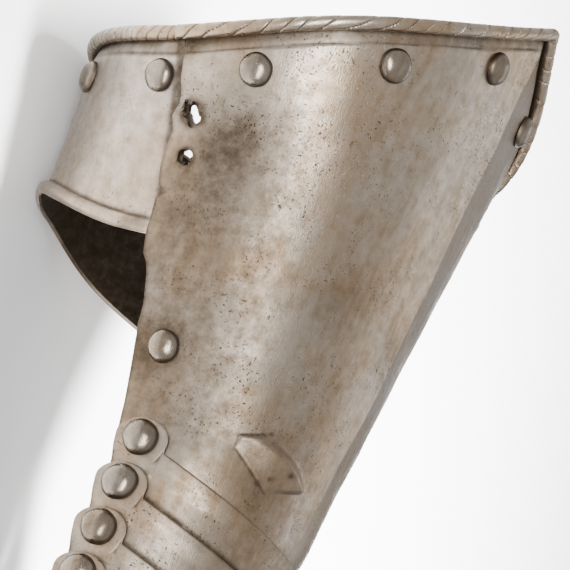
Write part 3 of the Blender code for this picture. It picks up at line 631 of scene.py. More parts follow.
def packed(low, high, count, places):
    """Values from low to high, closer together near each place, given as centre, gain and width.

    The density is 1 plus a bump at each place, and the values cut its running sum evenly.
    """
    fine = np.linspace(low, high, PACKED_STEPS)
    density = 1 + sum(gain * ridge(fine - centre, width) for centre, gain, width in places)
    total = running((density[1:] + density[:-1]) / 2)
    return np.interp(np.linspace(0, total[-1], count), total, fine)


def border_depth(from_rim):
    """The sunk border: a crisp small step, then a cove that deepens towards the roll's foot."""
    step = BORDER_SUNK * ease((BORDER_WIDTH + BORDER_STEP - from_rim) / BORDER_STEP)
    return step + BORDER_COVE * ease((BORDER_WIDTH - from_rim) / (BORDER_WIDTH - COVE_END)) ** COVE_POWER


def edge_soft(distance):
    """Share of the full half thickness near an edge: a quarter circle, never less than a third."""
    into = np.clip(distance / EDGE_ROUND, 0, 1)
    return EDGE_LEAST + (1 - EDGE_LEAST) * np.sqrt(1 - (1 - into) ** 2)


SEAM_ROW = 1 - 8.5 * MM / MOUTH_ARC
SEAM_PIXELS = (
    (184, 36), (186, 50), (185, 57), (183, 66), (181, 80), (183, 92), (180, 104), (172, 116),
    (173, 130), (166, 148), (161, 166), (159, 186), (166, 193), (156, 197), (150, 221),
    (144, 238), (143, 250), (147, 264), (146, 276), (143, 305), (137, 330),
)
SEAM_LIMIT = 3.2 * MM


def seam_edge(back):
    """How far past row 1, in rows, the near edge reaches: read along the seam's pixels."""
    places = np.array([cuff_at(pixel) for pixel in SEAM_PIXELS])
    order = np.argsort(places[:, 1])
    past = np.interp(back, places[order, 1], -places[order, 0] - 1, left=0.0, right=0.0)
    return np.clip(past, -SEAM_LIMIT / MOUTH_ARC, SEAM_LIMIT / MOUTH_ARC)


print("seam edge past row 1 from", np.round(seam_edge(np.linspace(0.03, 0.11, 6)), 4))
MAIN_ROWS, MAIN_COLUMNS, FRONT_COLUMNS = 341, 126, 9
ROLL_COVER = 0.45 * ROLL_WIDTH
RAGGED_ROW = 0.86
half_rows = packed(0.0, 1.0, MAIN_ROWS // 2 + 1, ((SEAM_ROW, 1.8, 0.04), (1.0, 2.0, 0.04), (0.5, 0.8, 0.12)))
main_rows = np.concatenate([-half_rows[::-1], half_rows[1:]])
line_shares = packed(0.0, 1.0, MAIN_COLUMNS, ((0.955, 4.0, 0.02), (0.74, 2.0, 0.07), (0.05, 9.0, 0.055)))
front_shares = np.linspace(1.0, 0.0, FRONT_COLUMNS)[:-1]

row_line = main_rows[:, None]
(_, wrist_up), _ = row_ends(row_line)
front = wrist_point(*np.broadcast_arrays(row_line, front_shares))
start_back = -wrist_up * np.sin(SLOPE)
last_back = rim_back(row_line) - ROLL_COVER
back_grid = start_back + (last_back - start_back) * line_shares
row_grid = row_line - seam_edge(back_grid[0]) * ease((-RAGGED_ROW - row_line) / (1 - RAGGED_ROW))
body_grid = cuff_point(row_grid, back_grid)
main_grid = np.concatenate([front, body_grid], axis=1)
print("main plate grid", main_grid.shape[:2])

# %% [markdown]
# ## Holes, a torn seam and a ragged edge
# Two rivets of the near seam are gone. One hole is round and clean. The other is torn, with a
# ragged outline. A hole is made by leaving out the squares inside its outline, and the points
# beside it are drawn onto the outline so that the rim is a clean curve.

# %% Cut the lost rivets' holes into the main plate
TORN_BACK, ROUND_BACK = 94.6 * MM, 82.0 * MM
TORN_RADIUS, ROUND_RADIUS = 3.3 * MM, 2.5 * MM
ROW_STEP = 0.01
HOLE_REACH, HOLE_RIM, HOLE_PULL = 9 * MM, 0.25 * MM, 1.1 * MM


def place_and_normal(row, back):
    """A point in the middle of the cuff's metal, and the outward normal there."""
    place = cuff_point(row, back)
    across = cuff_point(row + ROW_STEP, back) - cuff_point(row - ROW_STEP, back)
    run = cuff_point(row, back + MM) - cuff_point(row, back - MM)
    normal = one_long(np.cross(across, run))
    return place, normal * np.sign(normal @ (place - (-back, 0.0, MOUTH_MID_Z)))


def round_outline(angle):
    """Radius of the round hole, the same at every angle."""
    return np.full(angle.shape, ROUND_RADIUS)


def torn_outline(angle):
    """Radius of the torn hole by angle: a round hole with two ragged lobes towards the edge."""
    lobes = 0.28 * np.sin(2 * angle + 0.6) + 0.14 * np.sin(5 * angle + 1.1)
    return TORN_RADIUS * (1 + lobes)


def cut_hole(grid, kept, place, normal, outline):
    """Leaves out squares inside an outline round a place and draws the near points onto it."""
    ahead = one_long((1.0, 0.0, 0.0) - normal * normal[0])
    up = np.cross(normal, ahead)
    away = grid - place
    near = np.linalg.norm(away, axis=2) < HOLE_REACH
    first, second = away @ ahead, away @ up
    radius, angle = np.hypot(first, second), np.arctan2(second, first)
    edge = outline(angle)
    size = np.abs(radius - edge)
    inside = (radius < edge) & near
    corners = inside[:-1, :-1].astype(int) + inside[1:, :-1] + inside[1:, 1:] + inside[:-1, 1:]
    kept = kept & (corners < 3)
    snap = near & (inside | (size < HOLE_RIM)) & (size < HOLE_PULL)
    pull = np.where(snap, edge / np.maximum(radius, 1e-9), 1.0)
    grid = grid + (pull - 1)[..., None] * (first[..., None] * ahead + second[..., None] * up)
    return grid, kept


torn_place, torn_normal = place_and_normal(-SEAM_ROW, TORN_BACK)
round_place, round_normal = place_and_normal(-SEAM_ROW, ROUND_BACK)
main_kept = all_squares(main_grid)
main_grid, main_kept = cut_hole(main_grid, main_kept, torn_place, torn_normal, torn_outline)
main_grid, main_kept = cut_hole(main_grid, main_kept, round_place, round_normal, round_outline)
print("squares left out for the holes:", int((~main_kept).sum()))

# %% Raise the main plate's two skins
FAR_FROM_RIM = 99.0
LINE_SHADE, COVE_SHADE, FOOT_SHADE, HOLE_GRIME, EDGE_GRIME = 0.45, 0.42, 0.5, (0.8, 0.7), 0.4


def border_shade(from_rim):
    """Painted shade in the sunk border: faint in the cove, heavy at its crisp line and at the roll's foot.
    """
    line = LINE_SHADE * ridge(from_rim - BORDER_WIDTH + 0.1 * MM, 0.35 * MM)
    foot = FOOT_SHADE * ease(1 - (from_rim - ROLL_WIDTH * 0.9) / (1.2 * MM))
    return line + COVE_SHADE * (from_rim < BORDER_WIDTH) + foot


front_back = -front[..., 0]
from_rim = np.concatenate([np.full(front_back.shape, FAR_FROM_RIM), rim_back(row_line) - back_grid], axis=1)
body_marks = hammered(row_grid, back_grid) + boss(row_grid, back_grid)[0]
marks = np.concatenate([boss(row_line, front_back)[0], body_marks], axis=1)
side_away = (1 - np.abs(row_line)) * MOUTH_ARC
softened = CUFF_THICK / 2 * edge_soft(side_away)
tarnish_and_shade = patina_and_shade(row_line, np.concatenate([front_back, back_grid], axis=1))
torn_near = np.linalg.norm(main_grid - torn_place, axis=2)
round_near = np.linalg.norm(main_grid - round_place, axis=2)
hole_grime = HOLE_GRIME[0] * ridge(torn_near - 3 * MM, 1.8 * MM)
hole_grime = hole_grime + HOLE_GRIME[1] * ridge(round_near - 2 * MM, 1.0 * MM)
# The sunk border's darkening and the boss's crease line are painted shade; the patches are tarnish with some
# painted shade.
main_grime_and_shade = tarnish_and_shade + border_shade(from_rim) + hole_grime + EDGE_GRIME * ridge(side_away, 1.2 * MM)
plate_piece("cuff_plate_steel", main_grid, softened + marks - border_depth(from_rim), softened - marks,
            "cuff", "cuff_plate", np.clip(main_grime_and_shade, 0, 1), kept=main_kept)

# %% [markdown]
# ## The roped roll
# The mouth's edge is rolled over and filed into a rope. A round section is carried along the rim,
# with slanting cuts: where the distance along the rim plus the turn round the roll passes a whole
# number of pitches, the section shrinks in a narrow groove, and between two cuts it swells.

# %% Carry a roped section along a rim
ROPE_PITCH, ROPE_CUT, ROPE_WIDTH, ROPE_SLANT = 7.0 * MM, 0.42 * MM, 0.26 * MM, 0.95
ROPE_SWELL = 0.12 * MM
INNER_PITCH = 3.6 * MM
ROLL_STEPS = 26


def roped_roll(rim_points, into, outward, phase, pitch):
    """Points of a roll: an ellipse in the plane of two directions, at each point of a rim.

    The phase grows by 1 a strand; its distance to a whole number gives the groove's depth.
    """
    angle = np.linspace(0, 2 * np.pi, ROLL_STEPS, endpoint=False)[None, :]
    strand = phase[:, None] + ROPE_SLANT * (angle - np.pi / 2) / np.pi * (ROPE_PITCH / pitch) ** 0.5
    apart = np.abs(strand - np.round(strand)) * pitch
    groove = ridge(apart, ROPE_WIDTH)
    swell = 1 - (1 - 2 * np.abs(strand - np.round(strand))) ** 2
    outer_side = ease((np.sin(angle) + 0.6) / 0.8)
    shrink = (ROPE_CUT * (pitch / ROPE_PITCH) * groove + ROPE_SWELL * (1 - swell)) * outer_side
    wide = (ROLL_WIDTH / 2 - shrink) * np.cos(angle)
    tall = ((ROLL_HEIGHT + CUFF_THICK) / 2 - shrink) * np.sin(angle)
    middle = rim_points + into * (ROLL_WIDTH / 2) + outward * (ROLL_HEIGHT / 2)
    points = middle[:, None] - into[:, None] * wide[..., None] + outward[:, None] * tall[..., None]
    # The second result darkens the cuts between strands; the roll's inward half is darkened with painted
    # shade, as the inner skins are.
    return points, np.clip(0.9 * groove * outer_side + 0.6 * (1 - outer_side), 0, 1)


def roll_piece(name, rows, rim, seed, pitch, node, inset=0.0):
    """A roped roll along the rim of the cuff's rows, closed at both ends by a fan of triangles."""
    place = cuff_point(rows, rim(rows))
    into = one_long(cuff_point(rows, rim(rows) - 2 * MM) - place)
    outward = one_long(np.cross(into, one_long(np.gradient(place, axis=0))))
    mouth_middle = np.array([place[0, 0], 0.0, (MOUTH_MID_Z + PALM_Z) / 2])
    outward = outward * np.sign(np.sum(outward * (place - mouth_middle), axis=1))[:, None]
    place = place - outward * inset
    count = running(np.linalg.norm(np.diff(place, axis=0), axis=1)) / pitch
    phase = count + 0.30 * np.sin(1.1 * count + seed) + 0.07 * np.sin(4.3 * count + 2 * seed)
    points, grime_and_shade = roped_roll(place, into, outward, phase, pitch)
    rings, sides = points.shape[:2]
    number = np.arange(rings * sides).reshape(rings, sides)
    after = np.roll(number, -1, axis=1)
    a, b, c, d = number[:-1].ravel(), after[:-1].ravel(), after[1:].ravel(), number[1:].ravel()
    tips = rings * sides + np.arange(2)[:, None] + np.zeros(sides, int)
    corners = [(a, b, c), (a, c, d), (number[0], tips[0], after[0]), (number[-1], after[-1], tips[1])]
    faces = np.concatenate([np.stack(three, axis=-1) for three in corners])
    all_points = np.concatenate([points.reshape(-1, 3), points[[0, -1]].mean(axis=1)])
    all_grime_and_shade = np.concatenate([grime_and_shade.ravel(), [1.0, 1.0]])
    mesh_piece(name, all_points, faces, "cuff", node, all_grime_and_shade, [PLATE_STEEL])


ROPE_ROWS = 1500
roll_piece("cuff_roped_roll", np.linspace(-1, 1, ROPE_ROWS), rim_back, 0.7, ROPE_PITCH, "cuff_plate")

# %% [markdown]
# ## The inner plate
# A second plate closes the cuff under the wrist. Its side edges lie beneath the main plate, its
# mouth carries a roll of its own, and its front edge is turned out in a flange with a small bead,
# so that it doesn't cut the wrist. The same cuff rows give its form, set inward by one thickness.

# %% The inner plate's grid and skins
PALM_RIM_BACK, PALM_LIP_BACK, SIDE_LIP_BACK = 128.5 * MM, 75.0 * MM, 55.5 * MM
LIP_SKEW, LIP_SKEW_RUN = 3.7 * MM, 0.4
SEAM_LAP = 16.0 * MM
FLANGE_WIDTH, FLANGE_RISE = 7.0 * MM, 2.8 * MM
LIP_WIDTH, LIP_HEIGHT = 4.0 * MM, 1.4 * MM
PALM_SPAN = 1 + SEAM_LAP / MOUTH_ARC
INNER_ROWS, LIP_COLUMNS, INNER_COLUMNS, INNER_ROPE_ROWS = 301, 22, 54, 1600
LIP_HIDDEN_ROW, LIP_SHOWN_ROWS, BRIGHT_COLUMNS = 1.03, 0.1, 5
INNER_TARNISH, LIP_GRIME, LAPPED_SHADE = 0.20, 0.8, 0.8
INNER_WAVE, INNER_WAVE_LENGTH = 0.16 * MM, 30 * MM
UNDER = CUFF_THICK + SEAM_GAP


def palm_row(around):
    """The row at a place round the palm: 0 is row 2, its middle, and 1 is row -1, the near edge."""
    return np.where(around < 0, 1, -1) * (2 - np.abs(around))


def palm_ease(row):
    """How far a row has gone from the side to the middle of the palm: a squared sine."""
    return np.sin(np.clip(np.abs(row) - 1, 0, 1) * np.pi / 2) ** 2


def palm_rim(row):
    """Distance back of the inner plate's mouth."""
    return RIM_BACK + (PALM_RIM_BACK - RIM_BACK) * palm_ease(row)


def palm_lip(row):
    """Distance back of the inner plate's front edge, which is skewed towards the little finger."""
    skew = LIP_SKEW * ease((2 - np.abs(row)) / LIP_SKEW_RUN) * np.where(row < 0, 1, -1)
    return SIDE_LIP_BACK + (PALM_LIP_BACK - SIDE_LIP_BACK) * palm_ease(row) + skew


def half_round(distance, width, height):
    """Height of a half-round bead at a distance from its own edge."""
    station = distance / (width / 2)
    return height * np.sqrt(np.maximum(0.0, 1 - (station - 1) ** 2))


around_palm = packed(-PALM_SPAN, PALM_SPAN, INNER_ROWS, ((1.07, 2.0, 0.06), (-1.07, 1.0, 0.06)))
palm_rows = palm_row(around_palm)[:, None]
lip, palm_last = palm_lip(palm_rows), palm_rim(palm_rows) - ROLL_COVER
lip_share = 1 - np.cos(np.linspace(0, np.pi / 2, LIP_COLUMNS))
near_lip = lip + (FLANGE_WIDTH + MM) * lip_share ** 0.8
run_share = packed(0.0, 1.0, INNER_COLUMNS, ((0.93, 3.0, 0.03), (0.45, 1.5, 0.12)))[1:]
run_from = near_lip[:, -1:]
palm_backs = np.concatenate([near_lip, run_from + (palm_last - run_from) * run_share], axis=1)
palm_first = cuff_point(palm_rows, palm_backs)
shown = np.clip((np.abs(palm_rows) - LIP_HIDDEN_ROW) / LIP_SHOWN_ROWS, 0, 1)
from_lip, palm_from_rim = palm_backs - lip, palm_rim(palm_rows) - palm_backs
turned_out = FLANGE_RISE * np.maximum(0.0, 1 - from_lip / FLANGE_WIDTH) ** 2 * shown
inner_grid = palm_first + normals_of(palm_first) * (turned_out - UNDER)[..., None]


def inner_torn_outline(angle):
    """Radius of the torn hole in the inner plate by angle: long and leaning."""
    return TORN_RADIUS * (0.62 + 0.30 * np.cos(2 * angle - 1.2))


inner_grid, inner_kept = cut_hole(
    inner_grid, all_squares(inner_grid), torn_place - UNDER * torn_normal, torn_normal, inner_torn_outline)
inner_grid, inner_kept = cut_hole(
    inner_grid, inner_kept, round_place - UNDER * round_normal, round_normal, round_outline)
inner_marks = INNER_WAVE * waves(around_palm[:, None] * 0.12, palm_backs, INNER_WAVE_LENGTH, 3.0) * shown
inner_soft = CUFF_THICK / 2 * edge_soft(from_lip + 0.2 * MM)
bead = half_round(from_lip, LIP_WIDTH, LIP_HEIGHT) * shown
inner_out = inner_soft + inner_marks - border_depth(palm_from_rim) * shown + bead
lip_grime = LIP_GRIME * ridge(from_lip - LIP_WIDTH - 0.3 * MM, 0.8 * MM)
# Painted shade where the inner plate lies under the main plate.
under_main = LAPPED_SHADE * ease((LIP_HIDDEN_ROW - np.abs(palm_rows)) / (LIP_HIDDEN_ROW - 1))
inner_grime_and_shade = np.clip(INNER_TARNISH + border_shade(palm_from_rim) + lip_grime + under_main, 0, 1)
plate_piece("inner_cuff_steel", inner_grid, inner_out, inner_soft - inner_marks, "cuff", "inner_cuff_plate",
            inner_grime_and_shade, kept=inner_kept, bright_columns=BRIGHT_COLUMNS, steel=INNER_STEEL)
inner_rope_rows = palm_row(np.linspace(-0.99, 0.99, INNER_ROPE_ROWS))
roll_piece("inner_roped_roll", inner_rope_rows, palm_rim, 2.9, INNER_PITCH, "inner_cuff_plate", inset=UNDER)

# %% [markdown]
# ## Rivets with domed heads
# A rivet is turned: a profile of radius and height goes round its axis. The head is a quarter of
# an ellipse with a thin upright rim, a little out of round and with soft hammer flats. Below it
# the shank goes through the plates to a flat button inside.

# %% Turn one rivet
LINING_HEAD, LINING_DOME = 5.2 * MM, 3.4 * MM
PIVOT_HEAD, PIVOT_DOME = 5.5 * MM, 4.0 * MM
SIDE_HEAD = 5.0 * MM
SHANK, BUTTON, BUTTON_THICK, BUTTON_GAP = 1.8 * MM, 3.2 * MM, 1.0 * MM, 0.8 * MM
SEAT_GAP = 0.05 * MM
RIM_TALL, RIM_FOOT, CROWN_POWER = 0.28 * MM, 0.12 * MM, 0.94
FLAT_DEPTH, FLAT_LENGTH = 0.10 * MM, 6 * MM
RIVET_SIDES, CROWN_STEPS = 36, 12


def rivet_piece(name, place, normal, head, dome, grip, body, seed):
    """A turned rivet: the crown from the pole to the rim, the underside, the shank, the button."""
    angle = np.linspace(0, np.pi / 2, CROWN_STEPS)[1:]
    shank_radius = [head, head * 0.97, SHANK, SHANK, BUTTON, BUTTON]
    shank_height = [RIM_FOOT, 0.0, 0.0, -grip, -grip, -grip - BUTTON_THICK]
    radius = np.concatenate([head * np.sin(angle) ** CROWN_POWER, shank_radius])
    height = np.concatenate([RIM_TALL + (dome - RIM_TALL) * np.cos(angle), shank_height])
    turn = np.linspace(0, 2 * np.pi, RIVET_SIDES, endpoint=False)
    out_of_round = 1 + 0.018 * np.sin(2 * turn + seed) + 0.010 * np.sin(5 * turn + 2.3 * seed)
    crown = (height > 0)[:, None]
    uneven = waves(radius[:, None] * np.cos(turn), radius[:, None] * np.sin(turn), FLAT_LENGTH, seed)
    flats = FLAT_DEPTH * uneven * crown
    side = one_long(np.cross(normal, (0.13, 0.31, 0.94)))
    round_axis = np.cos(turn)[:, None] * side + np.sin(turn)[:, None] * np.cross(normal, side)
    wide = radius[:, None] * np.where(crown, out_of_round[None, :], 1.0)
    rings = place + wide[..., None] * round_axis + (height[:, None] + flats)[..., None] * normal
    top = place + normal * (dome + flats[0].mean())
    bottom = place - normal * (grip + BUTTON_THICK)
    points = np.concatenate([[top], rings.reshape(-1, 3), [bottom]])
    number = 1 + np.arange(rings.shape[0] * RIVET_SIDES).reshape(-1, RIVET_SIDES)
    after = np.roll(number, -1, axis=1)
    a, b, c, d = number[:-1].ravel(), number[1:].ravel(), after[1:].ravel(), after[:-1].ravel()
    pole, foot = np.zeros(RIVET_SIDES, int), np.full(RIVET_SIDES, len(points) - 1)
    corners = [(pole, number[0], after[0]), (a, b, c), (a, c, d), (foot, after[-1], number[-1])]
    faces = np.concatenate([np.stack(three, axis=-1) for three in corners])
    # The head's rim and underside are darkened: grime, with painted shade under the head.
    dirt_and_shade = 0.85 * ease((radius - head * 0.86) / (head * 0.14))
    dirt_and_shade = np.where(height < RIM_TALL * 1.01, 0.8, dirt_and_shade)
    grime_and_shade = np.concatenate([[0.0], np.repeat(dirt_and_shade, RIVET_SIDES), [1.0]])
    mesh_piece(name + "_steel", points, faces, body, name, grime_and_shade, [RIVET_STEEL])


# %% Rivets of the rolls, the seam and the wrist
ROW_INSET, LINING_PITCH, LINING_PER_SIDE = 14.5 * MM, 39.7 * MM, 3
PALM_FIRST = 7.0 * MM
SIDE_RIVET_BACK, SIDE_RIVET_UP = 28.0 * MM, 8.5 * MM
SIDE_ROW = 1 - SIDE_RIVET_UP / WRIST_ARC


def outer_face(row, back, inset=0.0):
    """A place on the cuff's outer face, with its marks, and the outward normal there."""
    place, normal = place_and_normal(row, back)
    raised = float(hammered(row, back)) if abs(row) < 1 else 0.0
    return place + normal * (CUFF_THICK / 2 - inset + raised + SEAT_GAP), normal


def cuff_rivet(name, row, back, seed, head=LINING_HEAD, inset=0.0, plates=1):
    """A rivet of the cuff, through one or two plates, on the face of its row."""
    grip = plates * UNDER + BUTTON_GAP
    rivet_piece(name, *outer_face(row, back, inset), head, LINING_DOME, grip, "cuff", seed)


for index in range(2 * LINING_PER_SIDE):
    row = (index - LINING_PER_SIDE + 0.5) * LINING_PITCH / MOUTH_ARC
    cuff_rivet(f"lining_rivet_{index + 1}", row, rim_back(row) - ROW_INSET, index)
palm_step = (MOUTH_PALM_ARC - PALM_FIRST) / 2
palm_offsets = [1 + offset / MOUTH_PALM_ARC for offset in (PALM_FIRST, PALM_FIRST + palm_step)]
for index, row in enumerate(palm_offsets + [2.0] + [-offset for offset in reversed(palm_offsets)]):
    cuff_rivet(f"palm_rivet_{index + 1}", row, palm_rim(row) - ROW_INSET, 7 + index, inset=UNDER)
cuff_rivet("side_rivet", -SIDE_ROW, SIDE_RIVET_BACK, 13, SIDE_HEAD)
cuff_rivet("seam_rivet_upper", SEAM_ROW, TORN_BACK, 14, SIDE_HEAD, plates=2)
cuff_rivet("seam_rivet_lower", SEAM_ROW, ROUND_BACK, 14, SIDE_HEAD, plates=2)

# %% [markdown]
# ## Plates that slide on rivets
# Two neighbouring plates turn about one rivet line, so both are parts of domes turned about that
# line, one half a millimetre inside the other: whatever the angle, they slide and never cut. A
# plate is a belt laid over its own dome and the next. Its points have two numbers: the run along
# the hand and the level, the share of the dome's height, from 1 at the crest to 0 at the rivets.

# %% A belt over two domes
LAME_THICK, SLIDE_GAP = 1.2 * MM, 0.5 * MM
STEP_UP = (CUFF_THICK + LAME_THICK) / 2 + SLIDE_GAP
LOW_REACH, HIGH_REACH = 6.0 * MM, 25.0 * MM
STOP_BLUR, EDGE_TRIES = 1.6 * MM, 12


class Dome:
    """A rivet line across the hand: where it is, its half-width and rise, its section's power."""

    def __init__(self, x, z, half, rise, power=BACK_POWER):
        self.x, self.z, self.half, self.rise, self.power = x, z, half, rise, power

    def grown(self, amount):
        """The same dome, larger by an amount all over."""
        return Dome(self.x, self.z, self.half + amount, self.rise + amount, self.power)


class Belt:
    """The surface laid over two domes, read by run and level."""

    def __init__(self, first, last, half_stops=None):
        self.first, self.last = first, last
        run, fall = last.x - first.x, first.z - last.z
        self.lean = np.arctan2(fall, run) + np.arcsin((first.rise - last.rise) / np.hypot(run, fall))
        self.length = run * np.cos(self.lean) + fall * np.sin(self.lean)
        self.climb = run * np.sin(self.lean) - fall * np.cos(self.lean)
        self.half_stops = half_stops or [(0.0, first.half), (1.0, last.half)]

    def parts(self, run, level):
        """Share of the belt, overshoot past its ends, rise there, and the height over its line.

        Past an end the height is a side of a right triangle whose long side is the reach.
        """
        share = np.clip(run / self.length, 0, 1)
        over = run - share * self.length
        rise = self.first.rise + (self.last.rise - self.first.rise) * share
        reach = level * rise
        turned = ease((np.abs(reach) - LOW_REACH) / (HIGH_REACH - LOW_REACH))
        height = np.sign(reach) * np.sqrt(np.maximum(0.0, reach ** 2 - turned * over ** 2))
        return share, over, rise, height

    def point(self, run, level):
        """Side-view place along and across the belt, and the half-width that the dome has there.

        The half-width between the stops is averaged over a few millimetres, so it has no kink.
        """
        share, over, rise, height = self.parts(run, level)
        first, last = self.first, self.last
        x = first.x + (last.x - first.x) * share + over * np.cos(self.lean) + height * np.sin(self.lean)
        z = first.z + (last.z - first.z) * share - over * np.sin(self.lean) + height * np.cos(self.lean)
        places, halves = np.transpose(self.half_stops)
        steps = np.linspace(-1, 1, 9) * STOP_BLUR / self.length
        half = np.mean([np.interp(share + step, places, halves) for step in steps], axis=0)
        power = first.power + (last.power - first.power) * share
        away = np.minimum(1.0, np.hypot(height, over) / rise)
        return np.stack([x, half * (1 - away ** power) ** (1 / power), z], axis=-1)

    def edge_line(self, level, angle, at_last):
        """Run at which a level meets a straight edge through a rivet, at an angle from upright."""
        tangent = np.tan(angle - self.lean)
        base = self.length if at_last else 0.0
        run = np.full(np.shape(level), base)
        for _ in range(EDGE_TRIES):
            share, _, _, height = self.parts(run, level)
            above = height - self.climb * ((1 - share) if at_last else -share)
            run = 0.5 * run + 0.5 * (base + tangent * above)
        return run

    def from_side(self, x, z, at_last):
        """Run and level of side-view places near a rivet, given from that rivet."""
        run = x * np.cos(self.lean) - z * np.sin(self.lean)
        height = x * np.sin(self.lean) + z * np.cos(self.lean)
        rise = self.last.rise if at_last else self.first.rise
        return run + (self.length if at_last else 0.0), height / rise


print("plates stand", round(STEP_UP / MM, 2), "mm apart, middle to middle")

# %% [markdown]
# A sliding plate is then two edges in run and level, with the rows between them. The back edge of
# a lame comes down from the crest, ends in a small nick, and goes round the rivet in a lobe. Rows
# are spaced evenly in the turn of the arch near the crest, where level hardly changes.

# %% Edges and skins of a sliding plate
LOBE_BACK, LOBE_SIDE = 6.4 * MM, 8.4 * MM
NICK_SIDE = LOBE_SIDE * 1.03
CREST_ROWS, LOBE_ROWS, ACROSS_COLUMNS = 84, 56, 44
# The lames are darkened all over: partly tarnish, partly painted shade for the darker room they reflect.
LAME_TARNISH_AND_SHADE, STROKE_DEPTH = 0.34, 0.22 * MM
LAME_WAVE, LAME_WAVE_LENGTH = 0.05 * MM, 12 * MM
OPEN_EDGE_SHADE, SIDE_GRIME, STROKE_GRIME = 0.35, 0.6, 0.9
STROKE_WIDTH, STROKE_STARTS, STROKE_ENDS = 0.34 * MM, (14, 6), (62, 30)


def crest_levels(belt, lowest):
    """Levels from the crest down to a height, evenly spaced in the turn of the arch."""
    power = belt.first.power
    last_turn = np.arccos((lowest / belt.first.rise) ** (power / 2))
    return np.cos(np.linspace(0, last_turn, CREST_ROWS)) ** (2 / power)


def ring(belt, radius_x, radius_z, first, last, at_last):
    """Run and level of points on an ellipse round a rivet, angles in degrees from upright."""
    angle = np.radians(np.linspace(first, last, LOBE_ROWS))
    return belt.from_side(radius_x * np.sin(angle), radius_z * np.cos(angle), at_last)


def lobed_edge(belt, levels):
    """The open back edge of a lame: a leaning line, a nick, and the lobe round its rivet."""
    lobe = ring(belt, LOBE_BACK, LOBE_SIDE, 12, -175, False)
    return np.concatenate([(belt.edge_line(levels, EDGE_LEAN, False), levels), lobe], axis=1)


def eared_edge(belt, levels, lean, radius, last, at_last):
    """A straight edge, lean in degrees, that ends in a round ear or lobe about its rivet."""
    ear = ring(belt, radius, radius, lean, last, at_last)
    return np.concatenate([(belt.edge_line(levels, np.radians(lean), at_last), levels), ear], axis=1)


def lobe_stroke(belt, run, level):
    """The file stroke that goes on from the nick, round the lobe's circle: depth 0 to 1."""
    _, _, _, height = belt.parts(run, level)
    angle = np.degrees(np.arctan2(run, height)) + np.degrees(belt.lean)
    away = np.hypot(run, height) - LOBE_SIDE * 0.98
    ended, fading = STROKE_ENDS
    return ridge(away, STROKE_WIDTH) * ramp(angle, *STROKE_STARTS) * ease((ended - angle) / fading)


def sliding_plate(name, belt, back_edge, front_edge, body, seed, open_back=True, shade=None):
    """A plate between two edges: rows straight from one to the other, mirrored to both sides."""
    close = np.array([0.0, 0.006, 0.02, 0.045])
    packing = np.concatenate([close, np.linspace(0.09, 0.91, ACROSS_COLUMNS - 8), 1 - close[::-1]])
    back_edge, front_edge = back_edge[..., None], front_edge[..., None]
    run, level = back_edge + (front_edge - back_edge) * packing
    side = belt.point(run, level)
    grid = both_sides(side)
    grid[:len(side), :, 1] *= -1
    from_back = running(np.linalg.norm(np.diff(grid, axis=1), axis=2), axis=1)
    down = running(np.linalg.norm(np.diff(grid, axis=0), axis=2))
    from_side = np.minimum(down, down[-1:] - down)
    open_away = from_back if open_back else from_back[:, -1:] - from_back
    soft = np.minimum(edge_soft(open_away), edge_soft(from_side))
    half = LAME_THICK / 2 * soft
    around = np.arctan2(grid[..., 1], grid[..., 2]) * 0.04
    uneven = LAME_WAVE * waves(grid[..., 0], around, LAME_WAVE_LENGTH, seed)
    # The dark line along a plate's open edge is a painted shadow of its step onto the plate below.
    grime_and_shade = OPEN_EDGE_SHADE * ridge(open_away, 0.5 * MM) + SIDE_GRIME * ridge(from_side, 1.0 * MM)
    if shade is not None:
        stroke = lobe_stroke(belt, run, level)
        grime_and_shade = grime_and_shade + both_sides(LAME_TARNISH_AND_SHADE + shade(belt, run, level) + STROKE_GRIME * stroke)
        uneven = uneven - STROKE_DEPTH * both_sides(stroke)
    if (normals_of(grid)[len(grid) // 2] @ (np.sin(belt.lean), 0.0, np.cos(belt.lean))).mean() < 0:
        grid, half, uneven, grime_and_shade = grid[::-1], half[::-1], uneven[::-1], grime_and_shade[::-1]
    plate_piece(name + "_steel", grid, half + uneven, half, body, name, np.clip(grime_and_shade, 0, 1))


# %% Rivet lines of the hand
LAME_COUNT, LAME_PITCH, LAME_DROP = 4, 14.5 * MM, 1.4 * MM
LAME_RISE_DROP, HAND_WIDEN = 0.75 * MM, 0.6 * MM
FINGER_POWER, FINGER_LAP = 3.2, 13.0
KNUCKLE_EDGE, MIDDLE_EDGE, END_EDGE = 36.0, 60.0, 80.0
FINGER_LINES = ((34, 4.6, 45, 25), (20, -21, 42.4, 23), (10, -26, 39.7, 21.5))
TIP_BACK, TIP_RISE, TIP_HALF = 1 * MM, 19 * MM, 37 * MM

domes = []
for count in range(LAME_COUNT + 1):
    domes.append(Dome(count * LAME_PITCH, WRIST_Z - count * LAME_DROP,
                      WRIST_HALF + count * HAND_WIDEN, WRIST_RISE - count * LAME_RISE_DROP))
wrist_end = domes[-1]
for ahead, up, half, rise in FINGER_LINES:
    domes.append(Dome(domes[-1].x + ahead * MM, domes[-1].z + up * MM, half * MM, rise * MM, FINGER_POWER))
knuckle, middle_line, end_line = domes[-3:]
tip = Dome(end_line.x - TIP_BACK, TIP_RISE / 2, TIP_HALF, TIP_RISE, FINGER_POWER)
print("rivet lines at", [(round(dome.x, 4), round(dome.z, 4)) for dome in domes])

# %% The four lames over the back of the hand


# The next lame's edge casts a painted shadow on the plate beneath it.
LAP_SHADOW, LAP_BEFORE, LAP_WIDTH, LAP_LOWEST = 0.75, 0.4 * MM, 1.1 * MM, 0.12


